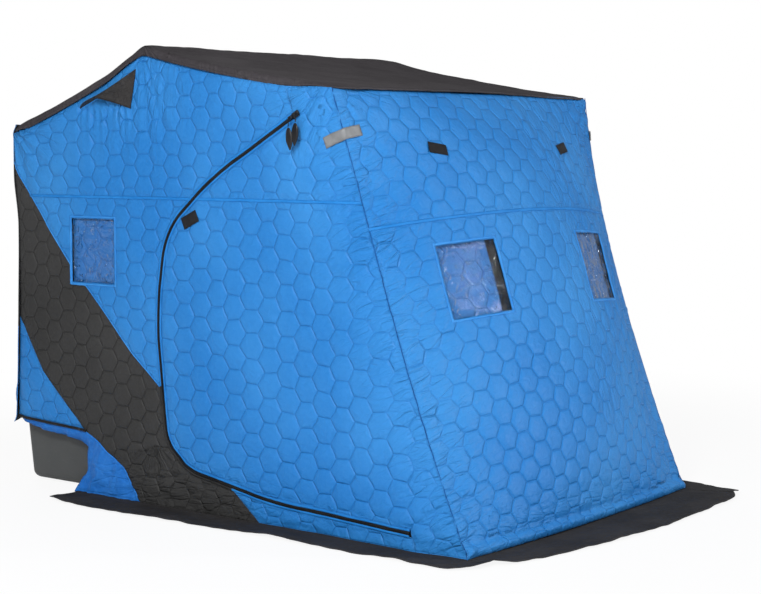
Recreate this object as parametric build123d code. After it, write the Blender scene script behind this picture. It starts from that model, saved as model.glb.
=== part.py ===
from build123d import *
import os

# Flip-over ice fishing shelter: a quilted cloth cabin on a tube frame, over a moulded sled.
# Millimetres. +X is the right side, -Y the front wall, +Y the sled end, +Z up.
# The origin lies on the ground, under the middle of the whole shelter.

# ---------------------------------------------------------------- cabin size
half_width = 880.0          # centre line to the outside of a side wall
front_flare = 80.0          # how much further out the top of a front corner stands
front_foot_y = -1215.0      # foot of the front corners
front_eave_y = -605.0       # top of the front corners
front_eave_z = 1840.0
front_corner_bow = 53.0     # how far the front corner line lies behind its chord
ridge_y = 530.0
ridge_z = 2035.0
rear_eave_y = 1382.0
rear_eave_z = 1713.0
rear_hem_y = 1420.0
rear_hem_z = 316.0
wall = 10.0                 # quilted cloth: shell, filling and lining
roof = 8.0
roof_lip = 33.0             # the roof cloth turned down over the side walls
front_lip = 14.0            # and over the front wall
roof_sag = 14.0
seam_z = 1373.0             # the level seam round the cabin
seat = 0.3                  # clearance between pieces that only rest together

# ---------------------------------------------------------------- front wall
front_bulge = 220.0         # at half height, in the middle of the wall
front_edge_bulge = 30.0     # at the ground and at the eave
front_seam_z = 1300.0
front_window_inner = 322.0
front_window_outer = 636.0
front_window_bottom = 905.0
front_window_top = 1195.0

# ---------------------------------------------------------------- rear wall
rear_eave_wrap = 8.0        # how far the wall stands out behind its corners, at the eave
rear_corner_run = 92.0      # width of the slanted part at each rear corner

# ---------------------------------------------------------------- doors
door_setback = 230.0        # hinge line behind the front corner
door_head_drop = 124.0      # from the front eave down to the top of the zip
door_sill_z = 76.0
door_back_setback = 70.0    # rearmost point of the zip, ahead of the ridge
zip_gap = 6.0               # running gap between the two zip tapes
zip_tape = 12.0             # width of each tape
hinge_gap = 0.6             # along the sewn line that the door swings on

# ---------------------------------------------------------------- side panels
side_window_front = 730.0
side_window_rear = 1005.0
side_window_bottom = 982.0
side_window_top = 1273.0
window_sheet = 3.0
accent_tip_drop = 194.0     # black panel's top corner, below the rear eave
accent_foot_rear = 582.0
accent_foot_front = -147.0
sill_top = 190.0
sill_seam_lean = 235.0      # the black panel's front seam leans back this far up to sill_top
apron_top_y = 934.0
apron_foot_y = 1008.0
hem_strip = 22.0
hood_reach = 95.0           # how far a vent hood stands off the wall
hood_cloth = 4.0

# ---------------------------------------------------------------- ground skirts
skirt = 8.0
skirt_side = 200.0          # how far a side skirt lies out from the wall
skirt_front = 255.0
skirt_rear_y = 960.0
skirt_corner_out = 20.0     # where a side skirt meets the front one, past the front corner
skirt_corner_fore = 170.0

# ---------------------------------------------------------------- frame
tube = 25.0
tube_clear = 18.0           # between a wall's lining and the tube behind it
bar_clear = 2.0             # between the roof cloth and a bar under it
rear_bar_clear = 12.0       # between the rear wall's lining and the rear bar
leg_setback = 66.0          # front legs behind the chord of the front corners
bracket_y = 580.0
bracket_width = 90.0
bracket_height = 80.0
bracket_foot_width = 40.0
pivot_drop = 45.0           # pivot line below the sled's rim
pivot_spread = 22.0         # each leg's foot, either side of the bracket's middle

# ---------------------------------------------------------------- sled
sled_half = 785.0           # half the sled's width at its top
sled_front = 380.0
sled_rear = 1467.0
sled_height = 430.0
sled_side_draft = 65.0      # each side leans in by this much at the foot
sled_end_draft = 41.0
sled_wall = 7.0
sled_corner = 90.0
sled_foot_round = 45.0
rim_height = 35.0
rim_width = 12.0

far = 3000.0                # past the shelter on every side
past = 60.0                 # a little past an edge that is trimmed later


def flat(points):
    return Face(Wire.make_polygon([Vector(*p) for p in points]))


def yz_prism(points):
    """A bar along X over an outline of (y, z) points."""
    return extrude(flat([(0.0, y, z) for y, z in points]), far, dir=(1, 0, 0))


def xz_prism(x_low, x_high, z_low, z_high):
    points = [(x_low, z_low), (x_high, z_low), (x_high, z_high), (x_low, z_high)]
    return extrude(flat([(x, -far, z) for x, z in points]), 2 * far, dir=(0, 1, 0))


def bar(start, end, up, size=tube):
    """A square tube, taken as solid, from start to end."""
    run = Vector(*end) - Vector(*start)
    plane = Plane(origin=Vector(*start), x_dir=run.cross(Vector(*up)), z_dir=run)
    return extrude(plane * Rectangle(size, size), run.length)


def mirrored(shape):
    return mirror(shape, about=Plane.YZ)


# ================================================================ cabin surfaces
def corner_y(z):
    """The front corner line, an even curve from the foot to the eave."""
    rise = z / front_eave_z
    chord = front_foot_y + (front_eave_y - front_foot_y) * rise
    return chord + 4 * front_corner_bow * rise * (1 - rise)


def corner_x(z):
    return half_width + front_flare * (z / front_eave_z) ** 4


def bulge(z):
    """How far the middle of the front wall stands forward of its corners."""
    off_middle = abs(2 * z / front_eave_z - 1)
    power = 3 if z > front_eave_z / 2 else 2
    return front_edge_bulge + (front_bulge - front_edge_bulge) * (1 - min(off_middle, 1) ** power)


levels = [skirt] + [front_eave_z * share for share in (0.18, 0.36, 0.52, 0.68, 0.8, 0.9, 1.0)]


def front_shell(depth, thickness):
    """The front wall as a shell, its face depth behind the outside of the cloth."""
    sections = []
    for z in levels:
        x = corner_x(z)
        y = corner_y(z) + depth
        back = y + thickness
        outer = ThreePointArc((-x, y, z), (0, y - bulge(z), z), (x, y, z))
        inner = ThreePointArc((x, back, z), (0, back - bulge(z), z), (-x, back, z))
        right_end = Line((x, y, z), (x, back, z))
        left_end = Line((-x, back, z), (-x, y, z))
        sections.append(Face(Wire([outer, right_end, inner, left_end])))
    return loft(sections, ruled=True)


def side_shell(depth, thickness):
    """The right side wall, ruled between a front, a ridge and a rear section."""
    front_plane = front_foot_y - past
    top = max(ridge_z, front_eave_z) + past
    sections = []
    for y in (front_plane, ridge_y, far):
        outer = []
        for z in levels + [top]:
            corner = min(z, front_eave_z)
            reach = (ridge_y - y) / (ridge_y - corner_y(corner)) if y < ridge_y else 0.0
            outer.append((half_width + (corner_x(corner) - half_width) * reach - depth, y, z))
        inner = [(x - thickness, y, z) for x, y, z in reversed(outer)]
        sections.append(flat(outer + inner))
    return loft(sections, ruled=True)


def slope(start_y, start_z, end_y, end_z):
    """Points along a roof slope that sags a little between its hoops."""
    points = []
    for n in range(7):
        share = n / 6
        z = start_z + (end_z - start_z) * share - 4 * roof_sag * share * (1 - share)
        points.append((start_y + (end_y - start_y) * share, z))
    return points


front_slope = slope(front_eave_y, front_eave_z, ridge_y, ridge_z)
rear_slope = slope(ridge_y, ridge_z, rear_eave_y, rear_eave_z)


def lowered(points, drop):
    return [(y, z - drop) for y, z in points]


def roof_over(y_low, y_high):
    """Lowest height of the roof's outside between two places along its length."""
    line = front_slope + rear_slope[1:]
    heights = [z for y, z in line if y_low < y < y_high]
    for y in (y_low, y_high):
        for (y0, z0), (y1, z1) in zip(line, line[1:]):
            if y0 <= y <= y1:
                heights.append(z0 + (z1 - z0) * (y - y0) / (y1 - y0))
    return min(heights)


front_skin = front_shell(0, wall)
side_skin = side_shell(0, wall)

# ================================================================ roof
front_arc = ThreePointArc(
    (-corner_x(front_eave_z), front_eave_y, 0),
    (0, front_eave_y - front_edge_bulge, 0),
    (corner_x(front_eave_z), front_eave_y, 0),
)
front_plan = Face(
    Wire(
        [
            front_arc,
            Line((corner_x(front_eave_z), front_eave_y, 0), (half_width, ridge_y, 0)),
            Line((half_width, ridge_y, 0), (-half_width, ridge_y, 0)),
            Line((-half_width, ridge_y, 0), (-corner_x(front_eave_z), front_eave_y, 0)),
        ]
    )
)
front_columns = extrude(front_plan, far, dir=(0, 0, 1))
front_run = [(front_eave_y - 2 * front_edge_bulge, front_eave_z)] + front_slope
front_slab = front_run + lowered(front_run, roof)[::-1]
roof_front_panel = Pos(-far / 2, 0, 0) * yz_prism(front_slab) & front_columns

rear_slab = rear_slope + lowered(rear_slope, roof)[::-1]
rear_columns = Pos(0, (ridge_y + rear_eave_y) / 2, 0) * Box(2 * half_width, rear_eave_y - ridge_y, 2 * far)
roof_rear_panel = Pos(-far / 2, 0, 0) * yz_prism(rear_slab) & rear_columns

# The side lips start behind the front wall, which runs the full width.
lip_front_y = corner_y(front_eave_z) + wall + seat
lip_share = (lip_front_y - front_slope[0][0]) / (front_slope[1][0] - front_slope[0][0])
lip_front = (lip_front_y, front_slope[0][1] + (front_slope[1][1] - front_slope[0][1]) * lip_share)
front_lip_line = [lip_front] + front_slope[1:]


def side_lip(line):
    return side_skin & yz_prism(lowered(line, roof) + lowered(line, roof_lip)[::-1])


front_side_lip = side_lip(front_lip_line)
rear_side_lip = side_lip(rear_slope)
eave_lip = front_skin & xz_prism(-far, far, front_eave_z - front_lip, front_eave_z - roof)
roof_front_panel = roof_front_panel + front_side_lip + mirrored(front_side_lip) + eave_lip
roof_rear_panel = roof_rear_panel + rear_side_lip + mirrored(rear_side_lip)

# ================================================================ front wall
front_wall = front_skin & xz_prism(-far, far, 0, front_eave_z - front_lip)
pane_skin = front_shell((wall - window_sheet) / 2, window_sheet)
front_window = xz_prism(front_window_inner, front_window_outer, front_window_bottom, front_window_top)
front_windows = front_window + mirrored(front_window)
front_upper_panel = front_wall & xz_prism(-far, far, front_seam_z, far)
front_lower_panel = (front_wall & xz_prism(-far, far, 0, front_seam_z)) - front_windows
front_left_window = pane_skin & mirrored(front_window)
front_right_window = pane_skin & front_window

# ================================================================ side walls
front_edge = [(corner_y(z) + wall + seat, z) for z in levels]
side_outline = [(y, z) for y, z in front_edge if z < lip_front[1] - roof_lip]
side_outline += lowered(front_lip_line + rear_slope[1:], roof_lip)
side_outline += [
    (rear_hem_y, rear_hem_z),
    (apron_top_y + 80, rear_hem_z - 45),
    (apron_top_y, rear_hem_z - 90),
    (apron_foot_y, skirt),
]
side_wall = side_skin & yz_prism(side_outline)

# The zip runs from the head of the door down its rounded back and forward along the sill.
door_head_z = front_eave_z - door_head_drop
door_head = Vector(0, corner_y(door_head_z) + door_setback, door_head_z)
door_toe = Vector(0, corner_y(door_sill_z) + door_setback, door_sill_z)
door_height = door_head_z - door_sill_z
door_back = ridge_y - door_back_setback
hinge_up = (door_head - door_toe).normalized()
hinge_across = Vector(0, hinge_up.Z, -hinge_up.Y)
zip_corners = [
    (door_back - 362, door_sill_z + 0.855 * door_height),
    (door_back - 60, door_sill_z + 0.707 * door_height),
    (door_back + 2, door_sill_z + 0.478 * door_height),
    (door_back - 55, door_sill_z + 0.137 * door_height),
    (door_back - 180, door_sill_z + 0.070 * door_height),
    (door_back - 680, door_sill_z + 0.017 * door_height),
]
zip_radii = [1400, 330, 1200, 150, 240, 2000]
run_on = 25.0
head_run = (Vector(0, *zip_corners[0]) - door_head).normalized() * run_on
toe_run = (Vector(0, *zip_corners[-1]) - door_toe).normalized() * run_on
zip_start = door_head - head_run
zip_end = door_toe - toe_run
zip_path = FilletPolyline(
    (zip_start.Y, zip_start.Z), *zip_corners, (zip_end.Y, zip_end.Z), radius=zip_radii
)
zip_close = Line((zip_end.Y, zip_end.Z), (zip_start.Y, zip_start.Z))
door_area = make_face(zip_path.edges() + zip_close.edges())


def door_prism(grow):
    """A bar along X over the door's area, grown past the middle of the zip."""
    return extrude(Plane.YZ * offset(door_area, grow), far)


def behind_hinge(gap):
    """Everything more than gap behind the hinge line."""
    low = door_toe + hinge_across * gap - hinge_up * far
    high = door_toe + hinge_across * gap + hinge_up * far
    back = hinge_across * 2 * far
    return yz_prism([(p.Y, p.Z) for p in (low, high, high + back, low + back)])


behind_strip = behind_hinge(-hinge_gap / 2)
front_strip = side_wall - behind_strip
rear_part = side_wall & behind_strip
wall_zip = side_skin & (door_prism(zip_gap / 2 + zip_tape) - door_prism(zip_gap / 2)) & behind_strip
rear_part = rear_part - door_prism(zip_gap / 2 + zip_tape)
door_side = side_skin & behind_hinge(hinge_gap / 2)
door_zip = door_side & (door_prism(-zip_gap / 2) - door_prism(-zip_gap / 2 - zip_tape))
door_panel = door_side & door_prism(-zip_gap / 2 - zip_tape)

# The black panel sweeps from the rear edge down to the sill of the door.
accent_tip_z = rear_eave_z - accent_tip_drop
window_edge = 12.0
accent_upper = [
    (far, accent_tip_z + 1.4 * (far - rear_eave_y)),
    (rear_eave_y, accent_tip_z),
    (side_window_rear + window_edge + 156, seam_z - 144),
    (side_window_rear + window_edge, seam_z - 311),
    (side_window_rear + window_edge, side_window_bottom - window_edge),
    (side_window_rear - 90, side_window_bottom - window_edge),
    (door_back + 157, side_window_bottom - 308),
    (door_back - 30, side_window_bottom - 455),
]
accent_lower = [
    (accent_foot_front, 0),
    (accent_foot_rear, 0),
    (accent_foot_rear + 103, 154),
    (accent_foot_rear + 366, 310),
    (accent_foot_rear + 638, 551),
    (accent_foot_rear + 776, 754),
    (far, 754 + 0.9 * (far - accent_foot_rear - 776)),
]
sill_seam_top = (accent_foot_front + sill_seam_lean, sill_top)
sill_front = [(door_back - 200, side_window_bottom - 455), sill_seam_top]
accent_area = yz_prism(accent_upper + sill_front + accent_lower)
upper_area = yz_prism([(-far, seam_z), (far, seam_z), (far, far), (-far, far)])
lower_rear_area = yz_prism([(accent_foot_rear - 60, 0)] + accent_lower[1:] + [(far, 0)])
sill_area = yz_prism([(-far, 0), (accent_foot_front, 0), sill_seam_top, (-far, sill_top)])

accent_panel = rear_part & accent_area
blue_part = rear_part - accent_area
upper_panel = blue_part & upper_area
blue_lower = blue_part - upper_area
lower_rear_panel = blue_lower & lower_rear_area
sill_panel = blue_lower & sill_area
window_area = yz_prism(
    [
        (side_window_front, side_window_bottom),
        (side_window_rear, side_window_bottom),
        (side_window_rear, side_window_top),
        (side_window_front, side_window_top),
    ]
)
middle_panel = blue_lower - lower_rear_area - sill_area - window_area
side_window = side_shell((wall - window_sheet) / 2, window_sheet) & window_area

# The hem zip on the lower edge at the rear.
hem_points = [(rear_hem_y, rear_hem_z), (rear_hem_y, rear_hem_z + hem_strip), (apron_top_y, rear_hem_z - 3)]
hem_points += [(apron_top_y, rear_hem_z - 3 - hem_strip)]
hem_skin = side_shell(-3 - seat, 3)
hem_zip = hem_skin & yz_prism(hem_points)

# A vent hood: a half cone of cloth, sewn down both slanted edges and open below.
hood_top = (half_width + seat, ridge_y + 40, ridge_z - 98)
hood_front = (half_width + seat, ridge_y + 75, ridge_z - 266)
hood_rear = (half_width + seat, ridge_y + 385, ridge_z - 262)
hood_lip = (half_width + hood_reach, ridge_y + 215, ridge_z - 246)


hood_cone = Solid(
    Shell(
        [
            flat([hood_top, hood_front, hood_lip]),
            flat([hood_top, hood_lip, hood_rear]),
            flat([hood_top, hood_rear, hood_front]),
            flat([hood_front, hood_rear, hood_lip]),
        ]
    )
)
vent_hood = hood_cone - Pos(-hood_cloth, 0, -hood_cloth) * hood_cone

# ================================================================ rear wall
# The wall stands out from its corners just enough to pass round the sled's rim.
rear_foot_z = rear_hem_z - hem_strip
rim_rise = (sled_height - rear_foot_z) / (rear_eave_z - rear_foot_z)
rim_back = sled_rear + rim_width + seat + wall
eave_back = rear_eave_y + rear_eave_wrap
rear_hem_wrap = (rim_back - eave_back * rim_rise) / (1 - rim_rise) - rear_hem_y


def rear_section(z, inset):
    rise = (z - rear_foot_z) / (rear_eave_z - rear_foot_z)
    y = rear_hem_y + (rear_eave_y - rear_hem_y) * rise - inset
    wrap = rear_hem_wrap + (rear_eave_wrap - rear_hem_wrap) * rise
    half = half_width - wall - seat
    inner = half - rear_corner_run
    return [(half, y, z), (inner, y + wrap, z), (-inner, y + wrap, z), (-half, y, z)]


rear_faces = []
rear_wall_top = min(rear_eave_z, roof_over(rear_eave_y - wall, rear_eave_y)) - roof
for z in (rear_foot_z, rear_wall_top):
    outside = rear_section(z, 0)
    inside = rear_section(z, wall)
    rear_faces.append(flat(outside + list(reversed(inside))))
rear_wall = loft(rear_faces, ruled=True)

# ================================================================ ground skirts
skirt_corner = (half_width + skirt_corner_out, front_foot_y - skirt_corner_fore)
right_skirt = extrude(
    flat(
        [
            (half_width - wall, front_foot_y + wall + seat, 0),
            (half_width - wall, skirt_rear_y + 40, 0),
            (half_width + skirt_side, skirt_rear_y, 0),
            (half_width + skirt_side + 25, skirt_rear_y - 240, 0),
            (half_width + skirt_side - 30, -200, 0),
            (half_width + skirt_side - 45, front_foot_y - 10, 0),
            (skirt_corner[0] + 55, skirt_corner[1] + 30, 0),
            (*skirt_corner, 0),
        ]
    ),
    skirt - seat,
    dir=(0, 0, 1),
)
front_skirt_outer = ThreePointArc(
    (skirt_corner[0] - seat, skirt_corner[1], 0),
    (0, front_foot_y - front_edge_bulge - skirt_front, 0),
    (-skirt_corner[0] + seat, skirt_corner[1], 0),
)
front_skirt_inner = Polyline(
    (-skirt_corner[0] + seat, skirt_corner[1], 0),
    (-half_width + wall, front_foot_y + wall, 0),
    (half_width - wall, front_foot_y + wall, 0),
    (skirt_corner[0] - seat, skirt_corner[1], 0),
)
front_skirt_face = Face(Wire(front_skirt_outer.edges() + front_skirt_inner.edges()))
front_skirt = extrude(front_skirt_face, skirt - seat, dir=(0, 0, 1))

# ================================================================ sled
def sled_section(z, inset):
    share = z / sled_height
    half = sled_half - sled_side_draft * (1 - share) - inset
    front = sled_front + sled_end_draft * (1 - share) + inset
    rear = sled_rear - sled_end_draft * (1 - share) - inset
    return Pos(0, (front + rear) / 2, z) * RectangleRounded(2 * half, rear - front, sled_corner - inset)


sled_body = loft([sled_section(0, 0), sled_section(sled_height, 0)])
sled_body = fillet(sled_body.edges().group_by(Axis.Z)[0], sled_foot_round)
sled_hollow = loft([sled_section(sled_wall, sled_wall), sled_section(sled_height + seat, sled_wall)])
sled_hollow = fillet(sled_hollow.edges().group_by(Axis.Z)[0], sled_foot_round - sled_wall)
rim_outer = sled_section(sled_height, -rim_width)
rim_band = extrude(rim_outer, -rim_height) - extrude(sled_section(sled_height, sled_wall), -rim_height)
rim_band = rim_band - (sled_body - sled_hollow)
sled_tub = (sled_body - sled_hollow) + rim_band

# ================================================================ tube frame
tube_x = half_width - wall - tube_clear - tube / 2
leg_slope = (front_eave_y - front_foot_y) / front_eave_z


def level_bar(y, z):
    return Pos(0, y, z) * Box(2 * tube_x + tube, tube, tube)


def between(z_low, z_high):
    return Pos(0, 0, (z_low + z_high) / 2) * Box(2 * far, 2 * far, z_high - z_low)


# The base lies on the ground: two rails and a bar across the front.
base_bar_y = front_foot_y + leg_setback + leg_slope * tube / 2
base_rear_y = bracket_y + bracket_width / 2
base_rail = Pos(tube_x, (base_bar_y + base_rear_y) / 2, tube / 2) * Box(tube, base_rear_y - base_bar_y, tube)
base_frame = base_rail + mirrored(base_rail) + level_bar(base_bar_y, tube / 2)

# The front hoop stands on the base and leans back, just behind the front corners.
leg_top_y = front_foot_y + leg_setback + leg_slope * front_eave_z
eave_under = min(front_eave_z, roof_over(leg_top_y - tube, leg_top_y + tube))
eave_bar_z = eave_under - roof - tube / 2 - seat
eave_bar_y = front_foot_y + leg_setback + leg_slope * eave_bar_z
leg_foot = (tube_x, front_foot_y + leg_setback, 0)
leg_head = (tube_x, leg_top_y, front_eave_z)
front_leg = bar(leg_foot, leg_head, (1, 0, 0)) & between(tube + seat, eave_bar_z - tube / 2)
front_hoop = front_leg + mirrored(front_leg) + level_bar(eave_bar_y, eave_bar_z)

# The ridge and rear hoops stand on the pivot brackets at the sled's sides.
pivot_z = sled_height - pivot_drop
rear_fall = (ridge_z - rear_eave_z) / (rear_eave_y - ridge_y)
ridge_bar_z = ridge_z - roof - rear_fall * tube / 2 - tube / 2 - bar_clear / 2
ridge_leg = bar((tube_x, bracket_y - pivot_spread, pivot_z), (tube_x, ridge_y, ridge_bar_z), (1, 0, 0))
ridge_hoop = ridge_leg + mirrored(ridge_leg) + level_bar(ridge_y, ridge_bar_z)

rear_bar_y = rear_eave_y - wall - tube / 2 - rear_bar_clear
rear_under = min(rear_eave_z, roof_over(rear_bar_y - tube / 2, rear_bar_y + tube / 2))
rear_bar_z = rear_under - roof - tube / 2 - bar_clear
rear_leg = bar((tube_x, bracket_y + pivot_spread, pivot_z), (tube_x, rear_bar_y, rear_bar_z), (1, 0, 0))
rear_hoop = rear_leg + mirrored(rear_leg) + level_bar(rear_bar_y, rear_bar_z)

# A rail under each roof edge holds the front hoop off the ridge hoop.
rail_front = eave_bar_y + tube / 2 + seat
rail_rear = ridge_y - tube / 2 - seat
rail_drop = 3 * roof_sag    # the rail stays clear of the sagging roof
rail_line = bar(
    (tube_x, eave_bar_y, eave_bar_z), (tube_x, ridge_y, ridge_bar_z - rail_drop), (1, 0, 0)
)
rail_span = Pos(0, (rail_front + rail_rear) / 2, 0) * Box(2 * far, rail_rear - rail_front, 2 * far)
roof_rail = rail_line & rail_span

# Each bracket is bolted to the sled's rim, carries two legs and stands on the ground rail.
bracket_inner = sled_half + rim_width + seat
bracket_outer = tube_x - tube / 2 - seat
bracket_x = (bracket_inner + bracket_outer) / 2
bracket_thick = bracket_outer - bracket_inner
bracket_z = sled_height - bracket_height / 2
bracket_plate = Pos(bracket_x, bracket_y, bracket_z) * Box(bracket_thick, bracket_width, bracket_height)
bracket_stand = Box(bracket_thick, bracket_foot_width, sled_height - tube / 2)
bracket_foot = Pos(bracket_x, bracket_y, sled_height / 2) * bracket_stand
pivot_bracket = bracket_plate + bracket_foot

nodes = {
    "sled_tub": sled_tub,
    "base_frame": base_frame,
    "front_hoop": front_hoop,
    "ridge_hoop": ridge_hoop,
    "rear_hoop": rear_hoop,
    "roof_front_panel": roof_front_panel,
    "roof_rear_panel": roof_rear_panel,
    "rear_wall": rear_wall,
    "front_upper_panel": front_upper_panel,
    "front_lower_panel": front_lower_panel,
    "front_left_window": front_left_window,
    "front_right_window": front_right_window,
    "front_skirt": front_skirt,
}
right_pieces = {
    "roof_rail": roof_rail,
    "pivot_bracket": pivot_bracket,
    "skirt": right_skirt,
    "upper_panel": upper_panel,
    "middle_panel": middle_panel,
    "accent_panel": accent_panel,
    "lower_rear_panel": lower_rear_panel,
    "sill_panel": sill_panel,
    "front_strip": front_strip,
    "wall_zip": wall_zip,
    "hem_zip": hem_zip,
    "window": side_window,
    "vent_hood": vent_hood,
    "door_panel": door_panel,
    "door_zip": door_zip,
}
for name, piece in right_pieces.items():
    nodes["right_" + name] = piece
    nodes["left_" + name] = mirrored(piece)

os.makedirs("parts", exist_ok=True)
for name, piece in nodes.items():
    export_step(piece, "parts/" + name + ".step")
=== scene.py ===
import math

import bmesh
import bpy
import numpy
from mathutils import Matrix, Vector, noise


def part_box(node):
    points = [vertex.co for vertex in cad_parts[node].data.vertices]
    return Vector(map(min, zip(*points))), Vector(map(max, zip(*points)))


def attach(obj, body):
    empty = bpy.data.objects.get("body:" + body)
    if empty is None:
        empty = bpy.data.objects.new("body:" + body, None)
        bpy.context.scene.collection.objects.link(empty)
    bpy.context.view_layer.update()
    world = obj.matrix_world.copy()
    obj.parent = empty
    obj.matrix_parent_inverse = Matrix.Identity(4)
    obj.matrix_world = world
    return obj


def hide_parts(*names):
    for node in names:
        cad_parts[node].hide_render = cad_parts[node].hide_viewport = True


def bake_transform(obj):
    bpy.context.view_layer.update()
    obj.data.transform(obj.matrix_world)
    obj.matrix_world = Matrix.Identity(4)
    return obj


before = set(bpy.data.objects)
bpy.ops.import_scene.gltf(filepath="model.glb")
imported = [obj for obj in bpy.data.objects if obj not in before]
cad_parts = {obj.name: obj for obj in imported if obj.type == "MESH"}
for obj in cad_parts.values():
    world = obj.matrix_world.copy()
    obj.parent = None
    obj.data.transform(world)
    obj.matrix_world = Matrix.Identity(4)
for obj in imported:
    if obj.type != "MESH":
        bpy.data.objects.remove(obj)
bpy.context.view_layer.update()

noise.seed_set(7)               # the offsets that noise_vector works from

# A flip-over ice fishing shelter: a cabin of quilted cloth on a tube frame, over a moulded sled.
# Metres. +X is the right side, -Y the front wall, +Y the sled end, +Z up.

# ================================================================ side walls
# Each side is one wall of quilted cloth, pulled tight from the front hoop over the ridge hoop to
# the rear hoop. Its panels are cut from a shell and a lining with filling between them, stitched
# through along a pattern of hexagons, and sewn edge to edge.
half_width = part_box("right_lower_rear_panel")[1].x
corner_foot = -1.215            # the front corner line: foot, head, and how far it bows back
corner_head = -0.605
corner_bow = 0.053
corner_flare = 0.080            # how much wider the cabin is at the head of its front corners
eave_height = 1.840
ridge_y = 0.530
ridge_height = 2.035
rear_edge = 1.420
rear_eave_y = 1.382
rear_eave_height = 1.713
roof_sag = 0.014                # how far the roof hangs between its hoops
seam_height = 1.373             # the level seam round the side walls
hem_front, hem_height, hem_slope = 0.934, 0.302, 0.05   # the zip on the lower edge at the rear
hem_zip_rear = 1.4185
hem_slider_y = 0.955
hinge_toe = Vector((-0.951, 0.076))
hinge_head = Vector((-0.403, 1.716))
hinge_up = (hinge_head - hinge_toe).normalized()
hinge_back = Vector((hinge_up.y, -hinge_up.x))
cloth_thickness = 0.0095
hexagon_side = 0.0585
hexagon_stretch = 1.04          # the hexagons are this much wider than even ones
hexagon_row = hexagon_side * math.sqrt(3) / 2      # from a hexagon's middle to each of its sides
puff = 0.0046                   # how far the filling swells a hexagon
seam_flat = 0.006               # the strip along a seam that the stitching holds flat


def smooth(x):
    x = min(max(x, 0.0), 1.0)
    return x * x * (3 - 2 * x)


def ripple(*at):
    """Soft noise, from about -0.7 to 0.7, at a place of three numbers."""
    return noise.noise(Vector(at))


def paint(red, green, blue):
    """A colour given as it looks, out of 255, for a shader."""
    shares = [c / 255 for c in (red, green, blue)]
    return (*[c / 12.92 if c < 0.04045 else ((c + 0.055) / 1.055) ** 2.4 for c in shares], 1.0)


def corner_y(z):
    rise = min(z, eave_height) / eave_height
    return corner_foot + (corner_head - corner_foot) * rise + 4 * corner_bow * rise * (1 - rise)


def corner_x(z):
    return half_width + corner_flare * (min(z, eave_height) / eave_height) ** 4


def behind_hinge(y, z):
    return (Vector((y, z)) - hinge_toe).dot(hinge_back)


def hem_line(y):
    """Height of the zip on the lower edge at the rear."""
    return hem_height + hem_slope * (y - hem_front)


def fan(y, z, centre, folds, reach, start, end, seed):
    """Folds that spread from a point, between two directions in degrees, and die out at reach."""
    away = Vector((y, z)) - Vector(centre)
    far = away.length
    if far > reach or far < 0.001:
        return 0.0
    turn = (math.degrees(math.atan2(away.y, away.x)) - start) % 360 / (end - start)
    if turn > 1:
        return 0.0
    wander = 0.25 * ripple(turn * 3, far * 4, seed)
    wave = math.sin(2 * math.pi * folds * (turn + wander / folds))
    return wave * smooth(turn * 4) * smooth((1 - turn) * 4) * smooth(far / 0.05) * (1 - far / reach) ** 1.4


def side_folds(y, z, seed):
    """How far the cloth of a side wall stands out from its even surface."""
    out = 0.007 * ripple(y * 1.3, z * 1.1, seed)
    out += 0.0022 * ripple(y * 7, z * 5, seed + 3)
    # The front corner's seam draws the cloth into short puckers.
    back = max(y - corner_y(z), 0.0)
    pucker = ripple((z + 0.45 * back) * 19, back * 4, seed + 7)
    out += 0.0100 * pucker * math.exp(-((back / 0.2) ** 1.5)) * smooth(back / 0.02)
    # The vent hood hangs on gathered cloth.
    under = 1.775 - z
    if under > 0:
        beside = smooth((y - 0.54) / 0.08) * smooth((0.99 - y) / 0.08)
        gather = math.sin(2 * math.pi * (y + 0.012 * ripple(z * 5, y * 3, seed)) / 0.041)
        out += 0.0075 * gather * beside * math.exp(-under / 0.10)
    # The rear and ridge poles pull the corners of the roof tight.
    out += 0.0065 * fan(y, z, (1.385, 1.705), 4.0, 0.62, 180, 285, seed)
    out += 0.0055 * fan(y, z, (0.53, 2.02), 6.0, 0.80, 215, 330, seed + 1)
    out += 0.0070 * fan(y, z, (-0.58, 1.81), 3.0, 0.46, 275, 355, seed + 2)
    # The foot drags where it is pinned behind the door.
    out += 0.0085 * fan(y, z, (0.47, 0.29), 4.0, 0.40, 195, 372, seed + 4)
    out += 0.0060 * fan(y, z, (0.98, 0.03), 3.5, 0.70, 60, 175, seed + 5)
    drag = ripple((z + 0.35 * y) * 21, y * 3, seed + 6)
    out += 0.0065 * drag * smooth((0.36 - z) / 0.2) * smooth((y - 0.02) / 0.2)
    crumple = ripple(y * 9, z * 34, seed + 9)
    out += 0.0050 * crumple * smooth((0.26 - z) / 0.2)
    return out


def strongest(*pulls):
    """The way that the cloth is drawn most at a point, fading where two ways are alike."""
    first, second = sorted(pulls, key=lambda pull: -pull[2])[:2]
    return (*first[:2], first[2] * smooth((first[2] - second[2]) / 0.12))


def spread(a, b, centre, reach):
    """Creases that run out from a point."""
    away = Vector((a, b)) - Vector(centre)
    far = max(away.length, 0.001)
    return (away.x / far * 0.30 + far * 0.1, away.y / far * 0.30, max(1 - far / max(reach, 0.001), 0.0))


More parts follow.
